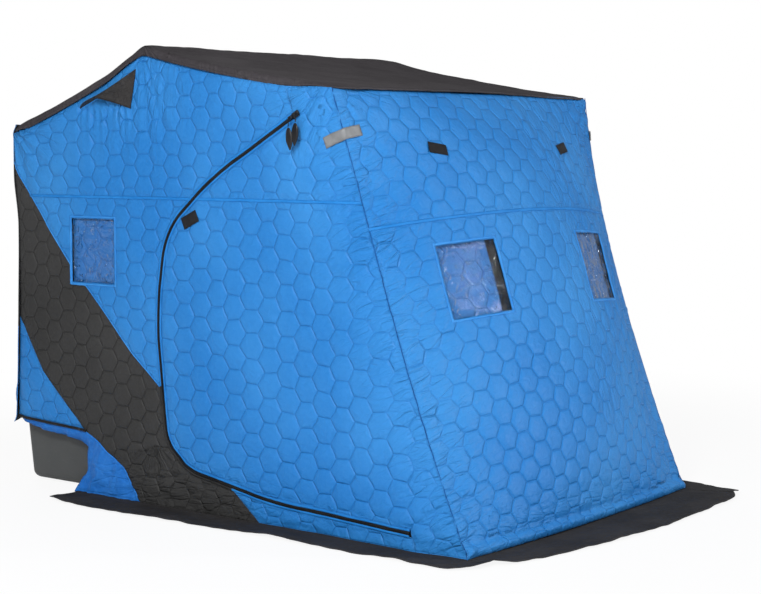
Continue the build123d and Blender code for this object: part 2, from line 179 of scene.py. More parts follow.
def side_pull(y, z):
    """How the cloth of a side wall creases: place across the creases, along them, and strength."""
    back = max(y - corner_y(z), 0.0)
    foot = smooth((0.30 - z) / 0.26) * smooth((y + 0.5) / 0.6)
    peak = math.exp(-abs(y - 0.47) / 0.16) * smooth((z - 1.35) / 0.5)
    pleats = smooth((y - 0.54) / 0.1) * smooth((1.0 - y) / 0.1) * math.exp(-abs(1.76 - z) / 0.12)
    return strongest(
        (z + 0.42 * back, back * 0.22, 1.0 * math.exp(-((back / 0.21) ** 1.5))),
        (z + 0.10 * y, y * 0.25, 0.8 * foot),
        (y + 0.05 * z, z * 0.2, 0.75 * peak),
        (y, z * 0.2, 0.8 * pleats),
        spread(y, z, (1.40, 1.72), 0.42),
        spread(y, z, (0.47, 0.29), 0.30 * smooth((0.29 - z) / 0.1)),
        spread(y, z, (-0.60, 1.83), 0.55),
    )


def roof_height(y):
    if y < ridge_y:
        share = min(max((y - corner_head) / (ridge_y - corner_head), 0.0), 1.0)
        height = eave_height + (ridge_height - eave_height) * share
    else:
        share = min((y - ridge_y) / (rear_eave_y - ridge_y), 1.0)
        height = ridge_height + (rear_eave_height - ridge_height) * share
    rounded = 0.009 * math.exp(-abs(y - ridge_y) / 0.05)
    return height - 4 * roof_sag * share * (1 - share) - rounded


def rear_slope(y):
    """How much the roof's edge is drawn down, over the rear part of a side wall."""
    return 0.016 * smooth((y - 0.60) / 0.16)


def waist(z):
    """How far forward the rear corners are drawn at a height. Just below the roof they stand back."""
    middle = math.sin(math.pi * min(max((z - 0.3) / 1.4, 0), 1))
    return 0.014 * middle - 0.026 * smooth((z - 1.22) / 0.26) * smooth((1.715 - z) / 0.06)


def side_place(side):
    """Where a point of a side wall's cloth lies: y and z on the wall, and out from it."""
    seed = 11.0 if side < 0 else 23.0

    def place(y, z, out):
        # Beside the front corner the wall runs up to the roof's very edge, and its foot meets the skirt.
        below_roof = roof_height(y) - z
        z += 0.020 * smooth(1 - (y - corner_head) / 0.28) * smooth(1.45 - below_roof / 0.10)
        z -= 0.0045 * smooth(1 - z / 0.04) + rear_slope(y) * smooth(1.5 - below_roof / 0.08)
        reach = max((ridge_y - y) / (ridge_y - corner_y(z)), 0.0)
        x = half_width + (corner_x(z) - half_width) * reach + side_folds(y, z, seed)
        # The front pole behind the hinge line holds the cloth out.
        back = behind_hinge(y, z)
        x += 0.016 * (smooth(1 + back / 0.24) if back < 0 else smooth(1 - back / 0.5))
        x -= 0.022 * max(1 - (rear_edge - y) / 0.10, 0.0) ** 2
        x -= 0.008 * smooth(1.3 - below_roof / 0.075) ** 2 * smooth((y - corner_head) / 0.3)
        below = hem_line(y) - z
        x -= 0.050 * smooth((y - 0.84) / 0.16) * smooth(below / 0.10) * smooth(z / 0.12)
        to_corner = 0.0105 * smooth(1 - (y - corner_y(z) - 0.0103) / 0.05)
        return Vector((side * (x + out), y - waist(z) * smooth((y - 0.9) / 0.5) - to_corner, z))

    return place


class Wall:
    """A wall of the cabin: the way it faces, how a point is laid flat and put back, its creases."""

    def __init__(self, facing, lay, place, pull):
        self.facing = Vector(facing)
        self.lay = lay
        self.place = place
        self.pull = pull


def flat_at(pair):
    return Vector((*pair, 0.0))


def weld(shape, gap):
    bmesh.ops.remove_doubles(shape, verts=shape.verts[:], dist=gap)


def move(shape, matrix):
    bmesh.ops.transform(shape, matrix=matrix, verts=shape.verts[:])


def soften(shape, edges, radius, steps):
    """Rounds off some edges of a mesh."""
    how = {"segments": steps, "profile": 0.5, "affect": "EDGES", "material": -1}
    bmesh.ops.bevel(shape, geom=edges, offset=radius, **how)


def outside_of(nodes, wall):
    """The outside of some panels as one flat cloth, in the wall's two coordinates."""
    cloth = bmesh.new()
    for node in nodes:
        cloth.from_mesh(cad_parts[node].data)
    weld(cloth, 0.0009)
    cloth.normal_update()
    hidden = [face for face in cloth.faces if face.normal.dot(wall.facing) < 0.5]
    bmesh.ops.delete(cloth, geom=hidden, context="FACES")
    for vert in cloth.verts:
        vert.co = flat_at(wall.lay(vert.co))
    weld(cloth, 0.0009)
    bmesh.ops.dissolve_limit(cloth, angle_limit=0.02, verts=cloth.verts[:], edges=cloth.edges[:])
    return cloth


def cut_along(cloth, point, across):
    everything = cloth.verts[:] + cloth.edges[:] + cloth.faces[:]
    bmesh.ops.bisect_plane(cloth, geom=everything, dist=0.00005, plane_co=point, plane_no=across)


def trimmed(cloth, cuts, inside):
    """The flat cloth cut along some lines, without the parts that aren't inside."""
    for point, across in cuts:
        cut_along(cloth, flat_at(point), flat_at(across))
    spare = [face for face in cloth.faces if not inside(face.calc_center_median())]
    bmesh.ops.delete(cloth, geom=spare, context="FACES")
    return cloth


def cut_rows(cloth, directions, pitch):
    """Cuts the flat cloth along evenly spaced lines square to each direction, in degrees."""
    for degrees in directions:
        turn = math.radians(degrees)
        across = Vector((math.cos(turn), math.sin(turn), 0))
        along = [vert.co.dot(across) for vert in cloth.verts]
        for row in range(math.ceil(min(along) / pitch), math.floor(max(along) / pitch) + 1):
            cut_along(cloth, across * pitch * row, across)


def hexagon_at(point):
    """The middle of the hexagon that holds a point, and how near the point is to its sides."""
    best = None
    for half in (0.0, 0.5):
        column = round(point.x / (3 * hexagon_side) - half) + half
        line = round(point.y / (2 * hexagon_row) - half) + half
        middle = Vector((column * 3 * hexagon_side, line * 2 * hexagon_row))
        x, y = abs(point.x - middle.x), abs(point.y - middle.y)
        away = max(y, x * math.sqrt(3) / 2 + y / 2)
        if best is None or away < best[1]:
            best = (middle, away)
    return best[0], hexagon_row - best[1]


def distance_to(points, starts, ends):
    """How far each flat point is from the nearest of some straight pieces."""
    best = numpy.full(len(points), 1.0)
    for start, end in zip(starts, ends):
        along = end - start
        share = numpy.clip(((points - start) @ along) / max(along @ along, 1e-12), 0, 1)
        gap = points - start - share[:, None] * along
        numpy.minimum(best, numpy.hypot(gap[:, 0], gap[:, 1]), out=best)
    return best


def all_of(point):
    return True


def seams_of(cloth, sewn=all_of):
    """Both ends of every outline edge that is sewn down."""
    edges = [edge for edge in cloth.edges if edge.is_boundary]
    pairs = [(edge.verts[0].co.copy(), edge.verts[1].co.copy()) for edge in edges]
    pairs = [pair for pair in pairs if sewn((pair[0] + pair[1]) / 2)]
    return [numpy.array([pair[end][:2] for pair in pairs]).reshape(-1, 2) for end in (0, 1)]


def cut_size(cloth):
    """Sides of the smallest rectangle that the flat cloth can be cut from."""
    best = None
    for degrees in range(0, 90, 3):
        turn = Matrix.Rotation(math.radians(degrees), 2)
        points = [turn @ vert.co.xy for vert in cloth.verts]
        sides = [max(p[k] for p in points) - min(p[k] for p in points) for k in (0, 1)]
        if best is None or sides[0] * sides[1] < best[0] * best[1]:
            best = sides
    return best


def link_piece(name, mesh, materials):
    """Puts a mesh in the scene as a smooth piece of its own."""
    mesh.materials.clear()
    for material in materials:
        mesh.materials.append(material)
    mesh.shade_smooth()
    piece = bpy.data.objects.new(name, mesh)
    bpy.context.scene.collection.objects.link(piece)
    return piece


def piece_of(shape, name, materials):
    mesh = bpy.data.meshes.new(name)
    shape.to_mesh(mesh)
    shape.free()
    return link_piece(name, mesh, materials)


def thicken(piece, thickness):
    depth = piece.modifiers.new("thickness", "SOLIDIFY")
    depth.thickness = thickness
    depth.offset = -1.0
    return depth


def finish_sheet(cloth, name, wall, materials, thickness, swell=None):
    """Makes a piece of a placed cloth: faces outwards, smooth, and with its real thickness."""
    cloth.normal_update()
    middle = cloth.faces[:][len(cloth.faces) // 2]
    if middle.normal.dot(wall.facing) < 0:
        bmesh.ops.reverse_faces(cloth, faces=cloth.faces[:])
    piece = piece_of(cloth, name, materials)
    depth = thicken(piece, thickness)
    depth.material_offset = len(materials) - 1
    if swell:
        group = piece.vertex_groups.new(name="swell")
        for index, share in enumerate(swell):
            group.add([index], share, "REPLACE")
        depth.vertex_group = "swell"
    return piece


def keep(piece, slot, *stands_for, body="shelter"):
    """Hides the nodes that a piece stands for and puts it on the body that it rides on. Its slot is not used.
    """
    if stands_for:
        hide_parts(*stands_for)
    if body:
        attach(piece, body)


def lay_out(cloth, wall, edge, placed):
    """Keeps the flat cloth as a map for its material, with its seams and creases, and places it."""
    seam = cloth.verts.layers.float.new("seam")
    pull = cloth.verts.layers.float_vector.new("pull")
    pattern = cloth.loops.layers.uv.new("cloth")
    for face in cloth.faces:
        for loop in face.loops:
            loop[pattern].uv = loop.vert.co.xy
    for index, vert in enumerate(cloth.verts):
        on, out = placed(index, vert.co)
        vert[seam] = edge[index]
        vert[pull] = Vector(wall.pull(on.x, on.y))
        vert.co = wall.place(on.x, on.y, out)


def quilt(name, cloth, wall, shell, shift, turn=0.0, sewn=all_of, scale=(1.0, 1.0)):
    """A lined quilted panel made of a flat cloth, puffed between its stitches. Its pattern of
    hexagons can be shifted, turned by some degrees and made larger."""
    for point in [vert.co.copy() for vert in cloth.verts if not sewn(vert.co)]:
        cut_along(cloth, point, flat_at(hinge_up))
    size = cut_size(cloth)
    area = sum(face.calc_area() for face in cloth.faces)
    starts, ends = seams_of(cloth, sewn)
    even = Matrix.Diagonal((1 / hexagon_stretch / scale[0], 1 / scale[1], 1.0, 1.0))
    turned = Matrix.Rotation(math.radians(turn), 4, "Z")
    to_pattern = even @ turned @ Matrix.Translation((*shift, 0.0))
    move(cloth, to_pattern)
    cut_rows(cloth, (90, 30, 150), hexagon_row)
    weld(cloth, 0.0015)
    bmesh.ops.triangulate(cloth, faces=cloth.faces[:])
    bmesh.ops.subdivide_edges(cloth, edges=cloth.edges[:], cuts=4, use_grid_fill=True)
    bmesh.ops.triangulate(cloth, faces=cloth.faces[:])

    from_pattern = to_pattern.inverted()
    on_wall = numpy.array([(from_pattern @ vert.co)[:2] for vert in cloth.verts])
    edge = distance_to(on_wall, starts, ends)
    outline = [vert.is_boundary for vert in cloth.verts]
    swell = []
    for index, vert in enumerate(cloth.verts):
        middle, inside = hexagon_at(vert.co)
        share = min(max(inside / hexagon_row, 0.0), 1.0)
        # Rows of points are drawn towards the stitches, where the cloth turns sharply.
        drawn = share ** 1.5 if share < 0.6 else share + (0.6 ** 1.5 - 0.6) * (1 - share) / 0.4
        if not outline[index]:
            ease = smooth((edge[index] - 0.004) / 0.03)
            farther = 1 + ease * ((1 - drawn) / max(1 - share, 0.001) - 1)
            vert.co = flat_at(middle + (vert.co.xy - middle) * farther)
            share = share + (drawn - share) * ease
        swell.append((1 - (1 - share) ** 3.2) * smooth((edge[index] - seam_flat) / 0.03))

    def placed(index, point):
        middle, _ = hexagon_at(point)
        cell = Vector((middle.x * 31, middle.y * 37, shift[0] * 90))
        fullness = 1 + 0.45 * noise.noise(cell)
        lean = 0.35 * noise.noise(cell * 0.7 + Vector((0, 0, 5)))
        out = puff * swell[index] * (fullness + lean * (point.x - middle.x) / hexagon_side)
        near = math.exp(-edge[index] / 0.05) * smooth(edge[index] / 0.012)
        out += 0.0028 * near * ripple(point.x * 34, point.y * 34, 2.0)
        # The stitched lines wander, because the cloth gives where it is pulled.
        wander = noise.noise_vector(Vector((point.x * 7, point.y * 7, shift[1] * 90)))
        wander += 0.42 * noise.noise_vector(Vector((point.x * 21, point.y * 21, shift[1] * 70)))
        on = from_pattern @ point + 0.0088 * wander * smooth(edge[index] / 0.07)
        return on, out

    lay_out(cloth, wall, edge, placed)
    swell = [0.32 + 0.68 * share for share in swell]
    piece = finish_sheet(cloth, name, wall, [shell, lining], cloth_thickness, swell)
    area = min(area, size[0] * size[1])
    return piece


class Shade:
    """A value in a material. Arithmetic on it adds Math nodes."""

    def __init__(self, finish, socket):
        self.finish = finish
        self.socket = socket

    def math(self, operation, *others):
        values = {n: value for n, value in enumerate((self, *others))}
        return self.finish.add("Math", {"operation": operation}, values)

    def __add__(self, other):
        return self.math("ADD", other)

    def __mul__(self, other):
        return self.math("MULTIPLY", other)

    def __sub__(self, other):
        return self.math("SUBTRACT", other)

    def __truediv__(self, other):
        return self.math("DIVIDE", other)

    def __rsub__(self, other):
        return (self * -1.0) + other

    def __abs__(self):
        return self.math("ABSOLUTE")

    __radd__ = __add__
    __rmul__ = __mul__

    def other(self, output):
        """Another output of the same node."""
        return Shade(self.finish, self.socket.node.outputs[output])

    def between(self, low, high):
        """0 at low and 1 at high, smooth between them."""
        settings = {"interpolation_type": "SMOOTHSTEP"}
        return self.finish.add("MapRange", settings, {"Value": self, "From Min": low, "From Max": high})


class Finish:
    """One material, built up from nodes."""

    def __init__(self, name, **surface):
        self.material = bpy.data.materials.new(name)
        self.material.use_nodes = True
        self.tree = self.material.node_tree
        self.shader = self.tree.nodes["Principled BSDF"]
        for socket, value in surface.items():
            self.set(socket.replace("_", " "), value)

    def add(self, kind, settings=None, inputs=None, output=0):
        node = self.tree.nodes.new("ShaderNode" + kind)
        for name, value in (settings or {}).items():
            setattr(node, name, value)
        for name, value in (inputs or {}).items():
            self.feed(node.inputs[name], value)
        return Shade(self, node.outputs[output])

    def feed(self, socket, value):
        if isinstance(value, Shade):
            self.tree.links.new(value.socket, socket)
        else:
            socket.default_value = value

    def set(self, socket, value):
        self.feed(self.shader.inputs[socket], value)

    def place(self):
        return self.add("TexCoord", output="Object")

    def attribute(self, name, kind="Fac"):
        return self.add("Attribute", {"attribute_name": name}, output=kind)

    def cloud(self, vector, scale, detail=2.0, stretch=(1, 1, 1), distortion=0.0):
        """Noise from about 0 to 1 over a vector."""
        turned = self.add("Mapping", None, {"Vector": vector, "Scale": stretch})
        inputs = {"Vector": turned, "Scale": scale, "Detail": detail, "Distortion": distortion}
        return self.add("TexNoise", None, inputs, "Fac")

    def mix(self, share, first, second):
        inputs = {0: share, 6: first, 7: second}
        return self.add("Mix", {"data_type": "RGBA"}, inputs, 2)

    def surface(self):
        return Shade(self, self.shader.outputs[0])

    def show(self, share, first, second):
        """Shows a share of the second surface, and the first for the rest."""
        mixed = self.add("MixShader", None, {0: share, 1: first, 2: second})
        self.tree.links.new(mixed.socket, self.tree.nodes["Material Output"].inputs["Surface"])

    def relief(self, height):
        """Bump from a height in metres."""
        inputs = {"Height": height, "Distance": 1.0, "Strength": 1.0}
        self.set("Normal", self.add("Bump", None, inputs))


def hexagon_sides(finish, u, v):
    """How far a point of the cloth is from the nearest stitched side, in metres."""
    nearest = None
    for half in (0.0, 0.5):
        x = abs((u / (3 * hexagon_side) + (half + 0.5)).math("FRACT") - 0.5) * (3 * hexagon_side)
        y = abs((v / (2 * hexagon_row) + (half + 0.5)).math("FRACT") - 0.5) * (2 * hexagon_row)
        away = y.math("MAXIMUM", x * (math.sqrt(3) / 2) + y * 0.5)
        nearest = away if nearest is None else nearest.math("MINIMUM", away)
    return hexagon_row - nearest


def creases(finish, sharp):
    """Sharp creases that follow the way the cloth is drawn, as a height in metres."""
    across = finish.add("SeparateXYZ", None, {0: finish.attribute("pull", "Vector")})
    strength = across.other(2)
    bent = finish.add("CombineXYZ", None, {0: across, 1: across.other(1)})
    height = (finish.cloud(bent, 15.0, 1.0) - 0.5) * 0.022
    for scale, width, depth in ((19.0, 0.060, 0.0038), (41.0, 0.080, 0.0016)):
        line = 1.0 - abs(finish.cloud(bent, scale, 1.0, distortion=0.15) - 0.5).between(0.0, width)
        height = height - line * depth
    return height * strength * sharp


def quilted_cloth(name, colours, roughness, line, sheen=0.0):
    """Woven polyester, stitched in hexagons: tiny gathers along the thread, crumples between. Its
    colours are a middle, a deep and a bright one, and the thread's."""
    colour, deep, bright, thread = [paint(*tone) for tone in colours]
    finish = Finish(name, Roughness=roughness, Sheen_Weight=sheen, Sheen_Roughness=0.45)
    finish.set("Specular IOR Level", 0.17)
    cloth = finish.add("UVMap", {"uv_map": "cloth"})
    u = finish.add("SeparateXYZ", None, {0: cloth})
    v = u.other(1)
    seam = finish.attribute("seam")
    wander = (finish.cloud(cloth, 26.0, 1.0) - 0.5) * 0.004
    side = hexagon_sides(finish, u + wander, v - wander)
    row = abs(seam - 0.0056)
    stitch = 1.0 - side.between(0.0004, 0.0026)
    groove = 1.0 - side.between(0.0, 0.0075)
    topstitch = 1.0 - row.between(0.0003, 0.0018)
    lines = (stitch * (0.6 + 0.8 * finish.cloud(cloth, 9.0, 2.0))).math("MAXIMUM", topstitch)
    broad = finish.cloud(finish.place(), 1.6, 3.0)
    fine = finish.cloud(cloth, 60.0, 4.0)
    shade = finish.mix(broad.between(0.3, 0.75), deep, bright)
    shade = finish.mix(0.55, shade, colour)
    shade = finish.mix(fine.between(0.35, 0.8) * 0.20, shade, bright)
    # Beside the stitches the grooves are painted darker with the deep colour: painted shade in the grooves.
    shade = finish.mix(groove * 0.08, shade, deep)
    finish.set("Base Color", finish.mix(lines * line, shade, thread))
    finish.set("Roughness", roughness - 0.08 * fine.between(0.3, 0.8))
    near_seam = 1.0 - seam.between(0.0, 0.05)
    free = 1.0 - 0.75 * groove
    gathers = (finish.cloud(cloth, 150.0, 1.0) - 0.5) * groove * 0.0014
    crumple = (finish.cloud(cloth, 26.0, 3.0, distortion=0.8) - 0.5) * (0.0042 + 0.0042 * near_seam)
    small = (finish.cloud(cloth, 85.0, 2.0) - 0.5) * (0.0006 + 0.0022 * near_seam)
    weave = (finish.cloud(cloth, 900.0, 0.0) - 0.5) * 0.00012
    sunk = groove * -0.0020 - stitch * 0.0009 - topstitch * 0.0012
    finish.relief(gathers + (crumple + small + creases(finish, 1.0)) * free + weave + sunk)
    return finish.material


blues = ((40, 120, 190), (25, 105, 178), (62, 138, 203), (16, 88, 172))
blacks = ((52, 52, 52), (43, 43, 43), (62, 62, 62), (26, 26, 26))
greys = ((46, 47, 50), (36, 37, 40), (58, 59, 62), (26, 26, 28))
quilt_blue = quilted_cloth("blue_quilting", blues, 0.48, 0.16)
quilt_black = quilted_cloth("black_quilting", blacks, 0.56, 0.40)
lining = quilted_cloth("lining", greys, 0.66, 0.42, 0.08)
panel_lay = {
    "upper": (0.0, (0.013, 0.006), quilt_blue),
    "middle": (0.0, (0.047, 0.031), quilt_blue),
    "lower_rear": (2.0, (0.021, 0.055), quilt_blue),
    "sill": (1.0, (0.035, 0.011), quilt_blue),
    "accent": (-1.5, (0.029, 0.043), quilt_black),
}
walls = {
    "left": Wall((-1, 0, 0), lambda p: (p.y, p.z), side_place(-1), side_pull),
    "right": Wall((1, 0, 0), lambda p: (p.y, p.z), side_place(1), side_pull),
}
outward = {"left": -1, "right": 1}
hem = ((hem_front, hem_height), (-hem_slope, 1.0))      # the zip's line, and the way across it
above_hem = lambda p: p.y > hem_line(p.x)
for side, wall in walls.items():
    for panel, (turn, shift, material) in panel_lay.items():
        node = f"{side}_{panel}_panel"
        cloth = outside_of([node], wall)
        if panel == "lower_rear":
            cloth = trimmed(cloth, [hem], above_hem)
        piece = quilt(node + "_cloth", cloth, wall, material, shift, turn)
        keep(piece, "quilt_black" if panel == "accent" else "quilt_blue", node)


def on_hinge(point):
    beside = abs(behind_hinge(point.x, point.y)) < 0.003
    return beside and hinge_toe.y - 0.006 < point.y < hinge_head.y + 0.006


def bend_at_hinge(piece):
    """Bakes the piece's place into its mesh; it is not split at the hinge line."""
    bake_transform(piece)


for side, wall in walls.items():
    nodes = [side + "_door_panel", side + "_front_strip"]
    halves = {
        "door_top": (lambda p: p.y > seam_height, (0.031, 0.022)),
        "door_bottom": (lambda p: p.y < seam_height, (0.004, 0.037)),
    }
    for half, (inside, shift) in halves.items():
        name = f"{side}_{half}_cloth"
        cloth = trimmed(outside_of(nodes, wall), [((0, seam_height), (0, 1))], inside)
        sewn = lambda p: not on_hinge(p)
        piece = quilt(name, cloth, wall, quilt_blue, shift, sewn=sewn, scale=(1.09, 1.045))
        keep(piece, "quilt_blue", *nodes, body=None)
        bend_at_hinge(piece)

# ================================================================ front wall
# The front wall leans back and bows forward. It is sewn from an upper and a lower panel, and its
# foot is turned under and rolled where the skirt joins it.
front_bulge = 0.220
front_edge_bulge = 0.030
slant = math.hypot(eave_height, corner_head - corner_foot) / eave_height
front_arch = 0.055              # how much higher its level lines are in the middle than at the corners
front_roll = 0.024              # radius of the top edge where it rolls back to the roof
front_roll_start = 1.806
front_roll_end = 1.826


def bulge(z):
    off_middle = abs(2 * min(z, eave_height) / eave_height - 1)
    power = 3 if z > eave_height / 2 else 2
    return front_edge_bulge + (front_bulge - front_edge_bulge) * (1 - off_middle**power)


def bow_radius(z):
    depth = bulge(z)
    return (corner_x(z) ** 2 + depth**2) / (2 * depth)


def front_lay(point):
    radius = bow_radius(point.z)
    return (radius * math.asin(point.x / radius), point.z * slant)


def front_folds(u, z):
    edge = max(corner_x(z) * 1.03 - abs(u), 0.0)
    out = 0.008 * ripple(u * 1.4, z * 1.2, 31.0) * smooth(edge / 0.10)
    out += 0.0024 * ripple(u * 6, z * 6, 34.0) * smooth(edge / 0.05)
    tilt = 0.35 if u < 0 else 0.2
    pucker = ripple((z - tilt * edge) * 19, edge * 4, 37.0)
    out += 0.0095 * pucker * math.exp(-((edge / 0.2) ** 1.5)) * smooth(edge / 0.02)
    # Narrow upright drags right of the middle, where the cloth is slack.
    slack = smooth((u - 0.05) / 0.25) * smooth((0.85 - u) / 0.2) * smooth((z - 0.15) / 0.3)
    drag = ripple(u * 36 + z * 4, z * 3, 41.0)
    out += 0.0030 * drag * slack
    out += 0.0045 * fan(u, z, (-0.93, 1.82), 3.0, 0.42, 275, 355, 43.0)
    out += 0.0045 * fan(u, z, (0.93, 1.82), 3.0, 0.42, 185, 265, 44.0)
    # The rolled hem along the foot.
    roll = math.sin(math.pi * min(max((z - 0.004) / 0.052, 0.0), 1.0))
    slack_foot = smooth((0.5 - u) / 0.9)
    ends = smooth(edge / 0.06)
    out += 0.016 * roll * (1 + 0.25 * slack_foot * ripple(u * 14, 0, 47.0)) * ends
    out -= 0.007 * math.exp(-(((z - 0.064) / 0.012) ** 2)) * ends
    small = ripple(u * 30, z * 12, 49.0)
    out += 0.0020 * (1 + 1.3 * slack_foot) * small * smooth((0.14 - z) / 0.1) * ends
    return out


def front_pull(u, v):
    """Creases beside both corners and along the foot, and upright ones where the cloth is slack."""
    z = v / slant
    edge = max(corner_x(z) * 1.03 - abs(u), 0.0)
    slack = smooth((u - 0.0) / 0.3) * smooth((0.9 - u) / 0.2) * smooth((z - 0.15) / 0.3)
    return strongest(
        (z - 0.22 * edge, edge * 0.22 + (2 if u > 0 else 0), math.exp(-((edge / 0.21) ** 1.5))),
        (z + 0.05 * u, u * 0.25, 0.5 * smooth((0.24 - z) / 0.16) * smooth((z - 0.05) / 0.03)),
        (u + 0.08 * z, z * 0.2, 0.50 * slack),
        spread(u, z, (-0.97, 1.85), 0.42),
        spread(u, z, (0.97, 1.85), 0.42),
    )


def front_rise(u, z):
    """The cloth is cut so that its level lines rise a little towards the middle."""
    return front_arch * (0.5 - (u / 0.9) ** 2) * smooth(z / 0.5) * smooth((1.82 - z) / 0.35)


def front_place(u, v, out):
    z = v / slant
    z += front_rise(u, z)
    radius = bow_radius(z)
    turn = u / radius
    base = corner_y(z) + (radius - bulge(z))
    # Lean: the wall's face looks a little up where it leans back.
    lean = 0.31
    out = out + front_folds(u, z)
    # The top edge rolls back to meet the roof.
    roll = max((z - front_roll_start) / (front_roll_end - front_roll_start), 0.0) * math.radians(80)
    out -= front_roll * (1 - math.cos(roll))
    z += front_roll * math.sin(roll) - max(z - front_roll_start, 0.0)
    level = out * math.sqrt(1 - lean**2)
    place = Vector(
        (
            (radius + level) * math.sin(turn),
            base - (radius + level) * math.cos(turn),
            max(z + out * lean * math.cos(roll), 0.003),
        )
    )
    # Beside a corner it is drawn on to the side wall's edge.
    to_corner = radius * math.asin(corner_x(z) / radius) - abs(u)
    meet = smooth(1 - to_corner / 0.07) * smooth((1.84 - z) / 0.05)
    if meet > 0:
        side = "left" if u < 0 else "right"
        edge = walls[side].place(corner_y(z) + 0.0103, min(z, front_roll_start), 0.003)
        place.x += (edge.x - math.copysign(corner_x(z), u)) * meet
        place.y += (edge.y - corner_y(z) - 0.003) * meet
    return place


front_wall = Wall((0, -1, 0), front_lay, front_place, front_pull)
for panel, shift in (("upper", (0.017, 0.024)), ("lower", (0.052, 0.009))):
    node = f"front_{panel}_panel"
    cloth = outside_of([node], front_wall)
    piece = quilt(node + "_cloth", cloth, front_wall, quilt_blue, shift)
    keep(piece, "quilt_blue", node)

# ================================================================ rear wall
# The rear wall stands behind the sled. The side walls' colours run on round it as three bands,
# and it turns in at each corner to meet them.
rear_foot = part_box("rear_wall")[0].z
rear_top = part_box("rear_wall")[1].z
rear_bands = {"low": (rear_foot, 0.754), "middle": (0.754, 1.519), "high": (1.519, rear_top + 0.01)}
rear_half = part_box("rear_wall")[1].x
rear_run = 0.105                # width of the turned part at each corner
rear_wrap_foot = 0.071          # how far it stands out behind the corners, at its foot and at the eave
rear_wrap_eave = 0.008


def rear_place(x, z, out):
    rise = (z - rear_foot) / (rear_eave_height - rear_foot)
    side_end = rear_edge - (rear_edge - rear_eave_y) * rise
    wrap = rear_wrap_foot + (rear_wrap_eave - rear_wrap_foot) * rise
    edge = max(rear_half - abs(x), 0.0)
    turned = math.sin(min(edge / rear_run, 1.0) * math.pi / 2)
    level = side_end - waist(z) + 0.0005 + wrap * turned
    # It hangs over the sled's rim.
    fold = 0.022 * math.exp(-(((z - 0.425) / 0.085) ** 2))
    fold += 0.010 * ripple(x * 1.5, z * 1.3, 61.0)
    fold += 0.0024 * ripple(x * 6, z * 6, 64.0)
    fold += 0.0055 * fan(x, z, (-0.86, 1.69), 3.5, 0.5, 275, 358, 66.0)
    fold += 0.0055 * fan(x, z, (0.86, 1.69), 3.5, 0.5, 182, 265, 67.0)
    # Its upright edges are sewn to the rear edges of the side walls.
    beside = walls["right" if x > 0 else "left"].place(side_end, z, 0)
    x += math.copysign(abs(beside.x) - 0.0007 - rear_half, x) * (1 - smooth(edge / 0.05))
    return Vector((x, level + fold * smooth(edge / 0.04) + out * smooth(edge / 0.03 + 0.3), z))


def rear_pull(x, z):
    edge = max(rear_half - abs(x), 0.0)
    return strongest(
        (z + 0.3 * edge, edge * 0.22 + (2 if x > 0 else 0), 0.9 * math.exp(-edge / 0.12)),
        (x + 0.1 * z, z * 0.2, 0.35 * smooth((z - 0.9) / 0.6)),
        (z + 0.04 * x, x * 0.25, 0.7 * smooth((rear_foot + 0.2 - z) / 0.2)),
        spread(x, z, (-0.88, 1.73), 0.45),
        spread(x, z, (0.88, 1.73), 0.45),
    )


rear_wall = Wall((0, 1, 0), lambda p: (p.x, p.z), rear_place, rear_pull)
for band, (low, high) in rear_bands.items():
    cuts = [((0, low), (0, 1)), ((0, high), (0, 1))]
    cloth = trimmed(outside_of(["rear_wall"], rear_wall), cuts, lambda p: low < p.y < high)
    shift = (0.011 + low / 20, 0.017 + low / 30)
    material = quilt_black if band == "middle" else quilt_blue
    piece = quilt(f"rear_wall_{band}_cloth", cloth, rear_wall, material, shift)
    keep(piece, "quilt_black" if band == "middle" else "quilt_blue", "rear_wall")

# ================================================================ windows
# A pane of clear vinyl is sewn into each opening behind a folded tape. A quilted cover closes it
# from inside, and hangs a little behind the pane.
pane_depth = 0.004
pane_thickness = 0.0010
cover_depth = 0.019
cover_shift = (0.02, 0.03)      # where its quilting starts
binding_width = 0.013
binding_thickness = 0.0040
binding_rise = 0.0022


def flush(point):
    return 0.0


def sheet_of(name, cloth, wall, materials, pitch, thickness, height, flat=None):
    """A thin unquilted piece of a wall, laid on it at a height that may vary."""
    size = flat or cut_size(cloth)
    area = min(sum(face.calc_area() for face in cloth.faces), size[0] * size[1])
    starts, ends = seams_of(cloth)
    cut_rows(cloth, (0, 90), pitch)
    weld(cloth, 0.0004)
    bmesh.ops.triangulate(cloth, faces=cloth.faces[:])
    edge = distance_to(numpy.array([vert.co[:2] for vert in cloth.verts]), starts, ends)
    lay_out(cloth, wall, edge, lambda index, point: (point.copy(), height(point)))
    piece = finish_sheet(cloth, name, wall, materials, thickness)
    return piece


def clear_vinyl():
    """Thin clear sheet that mirrors a little, with soft crinkles that catch the lamps."""
    finish = Finish("clear_vinyl", Metallic=1.0, Roughness=0.05)
    finish.set("Base Color", paint(236, 240, 246))
    at = finish.place()
    crinkle = (finish.cloud(at, 14.0, 2.0, distortion=1.2) - 0.5) * 0.022
    dents = finish.cloud(at, 34.0, 2.0, distortion=0.8).between(0.55, 0.70)
    finish.relief(crinkle + dents * 0.0080 + (finish.cloud(at, 110.0, 2.0) - 0.5) * 0.0012)
    haze = finish.cloud(at, 11.0, 3.0).between(0.45, 0.8)
    finish.set("Roughness", 0.04 + 0.08 * haze)
    clear = finish.add("BsdfTransparent", None, {0: paint(248, 250, 252)})
    bump = finish.shader.inputs["Normal"].links[0].from_socket
    turned_away = finish.add("LayerWeight", None, {"Blend": 0.5, "Normal": Shade(finish, bump)}, "Facing")
    share = turned_away.math("POWER", 5.0) * 0.9 + 0.045 + haze * 0.02
    finish.show(share, clear, finish.surface())
    return finish.material


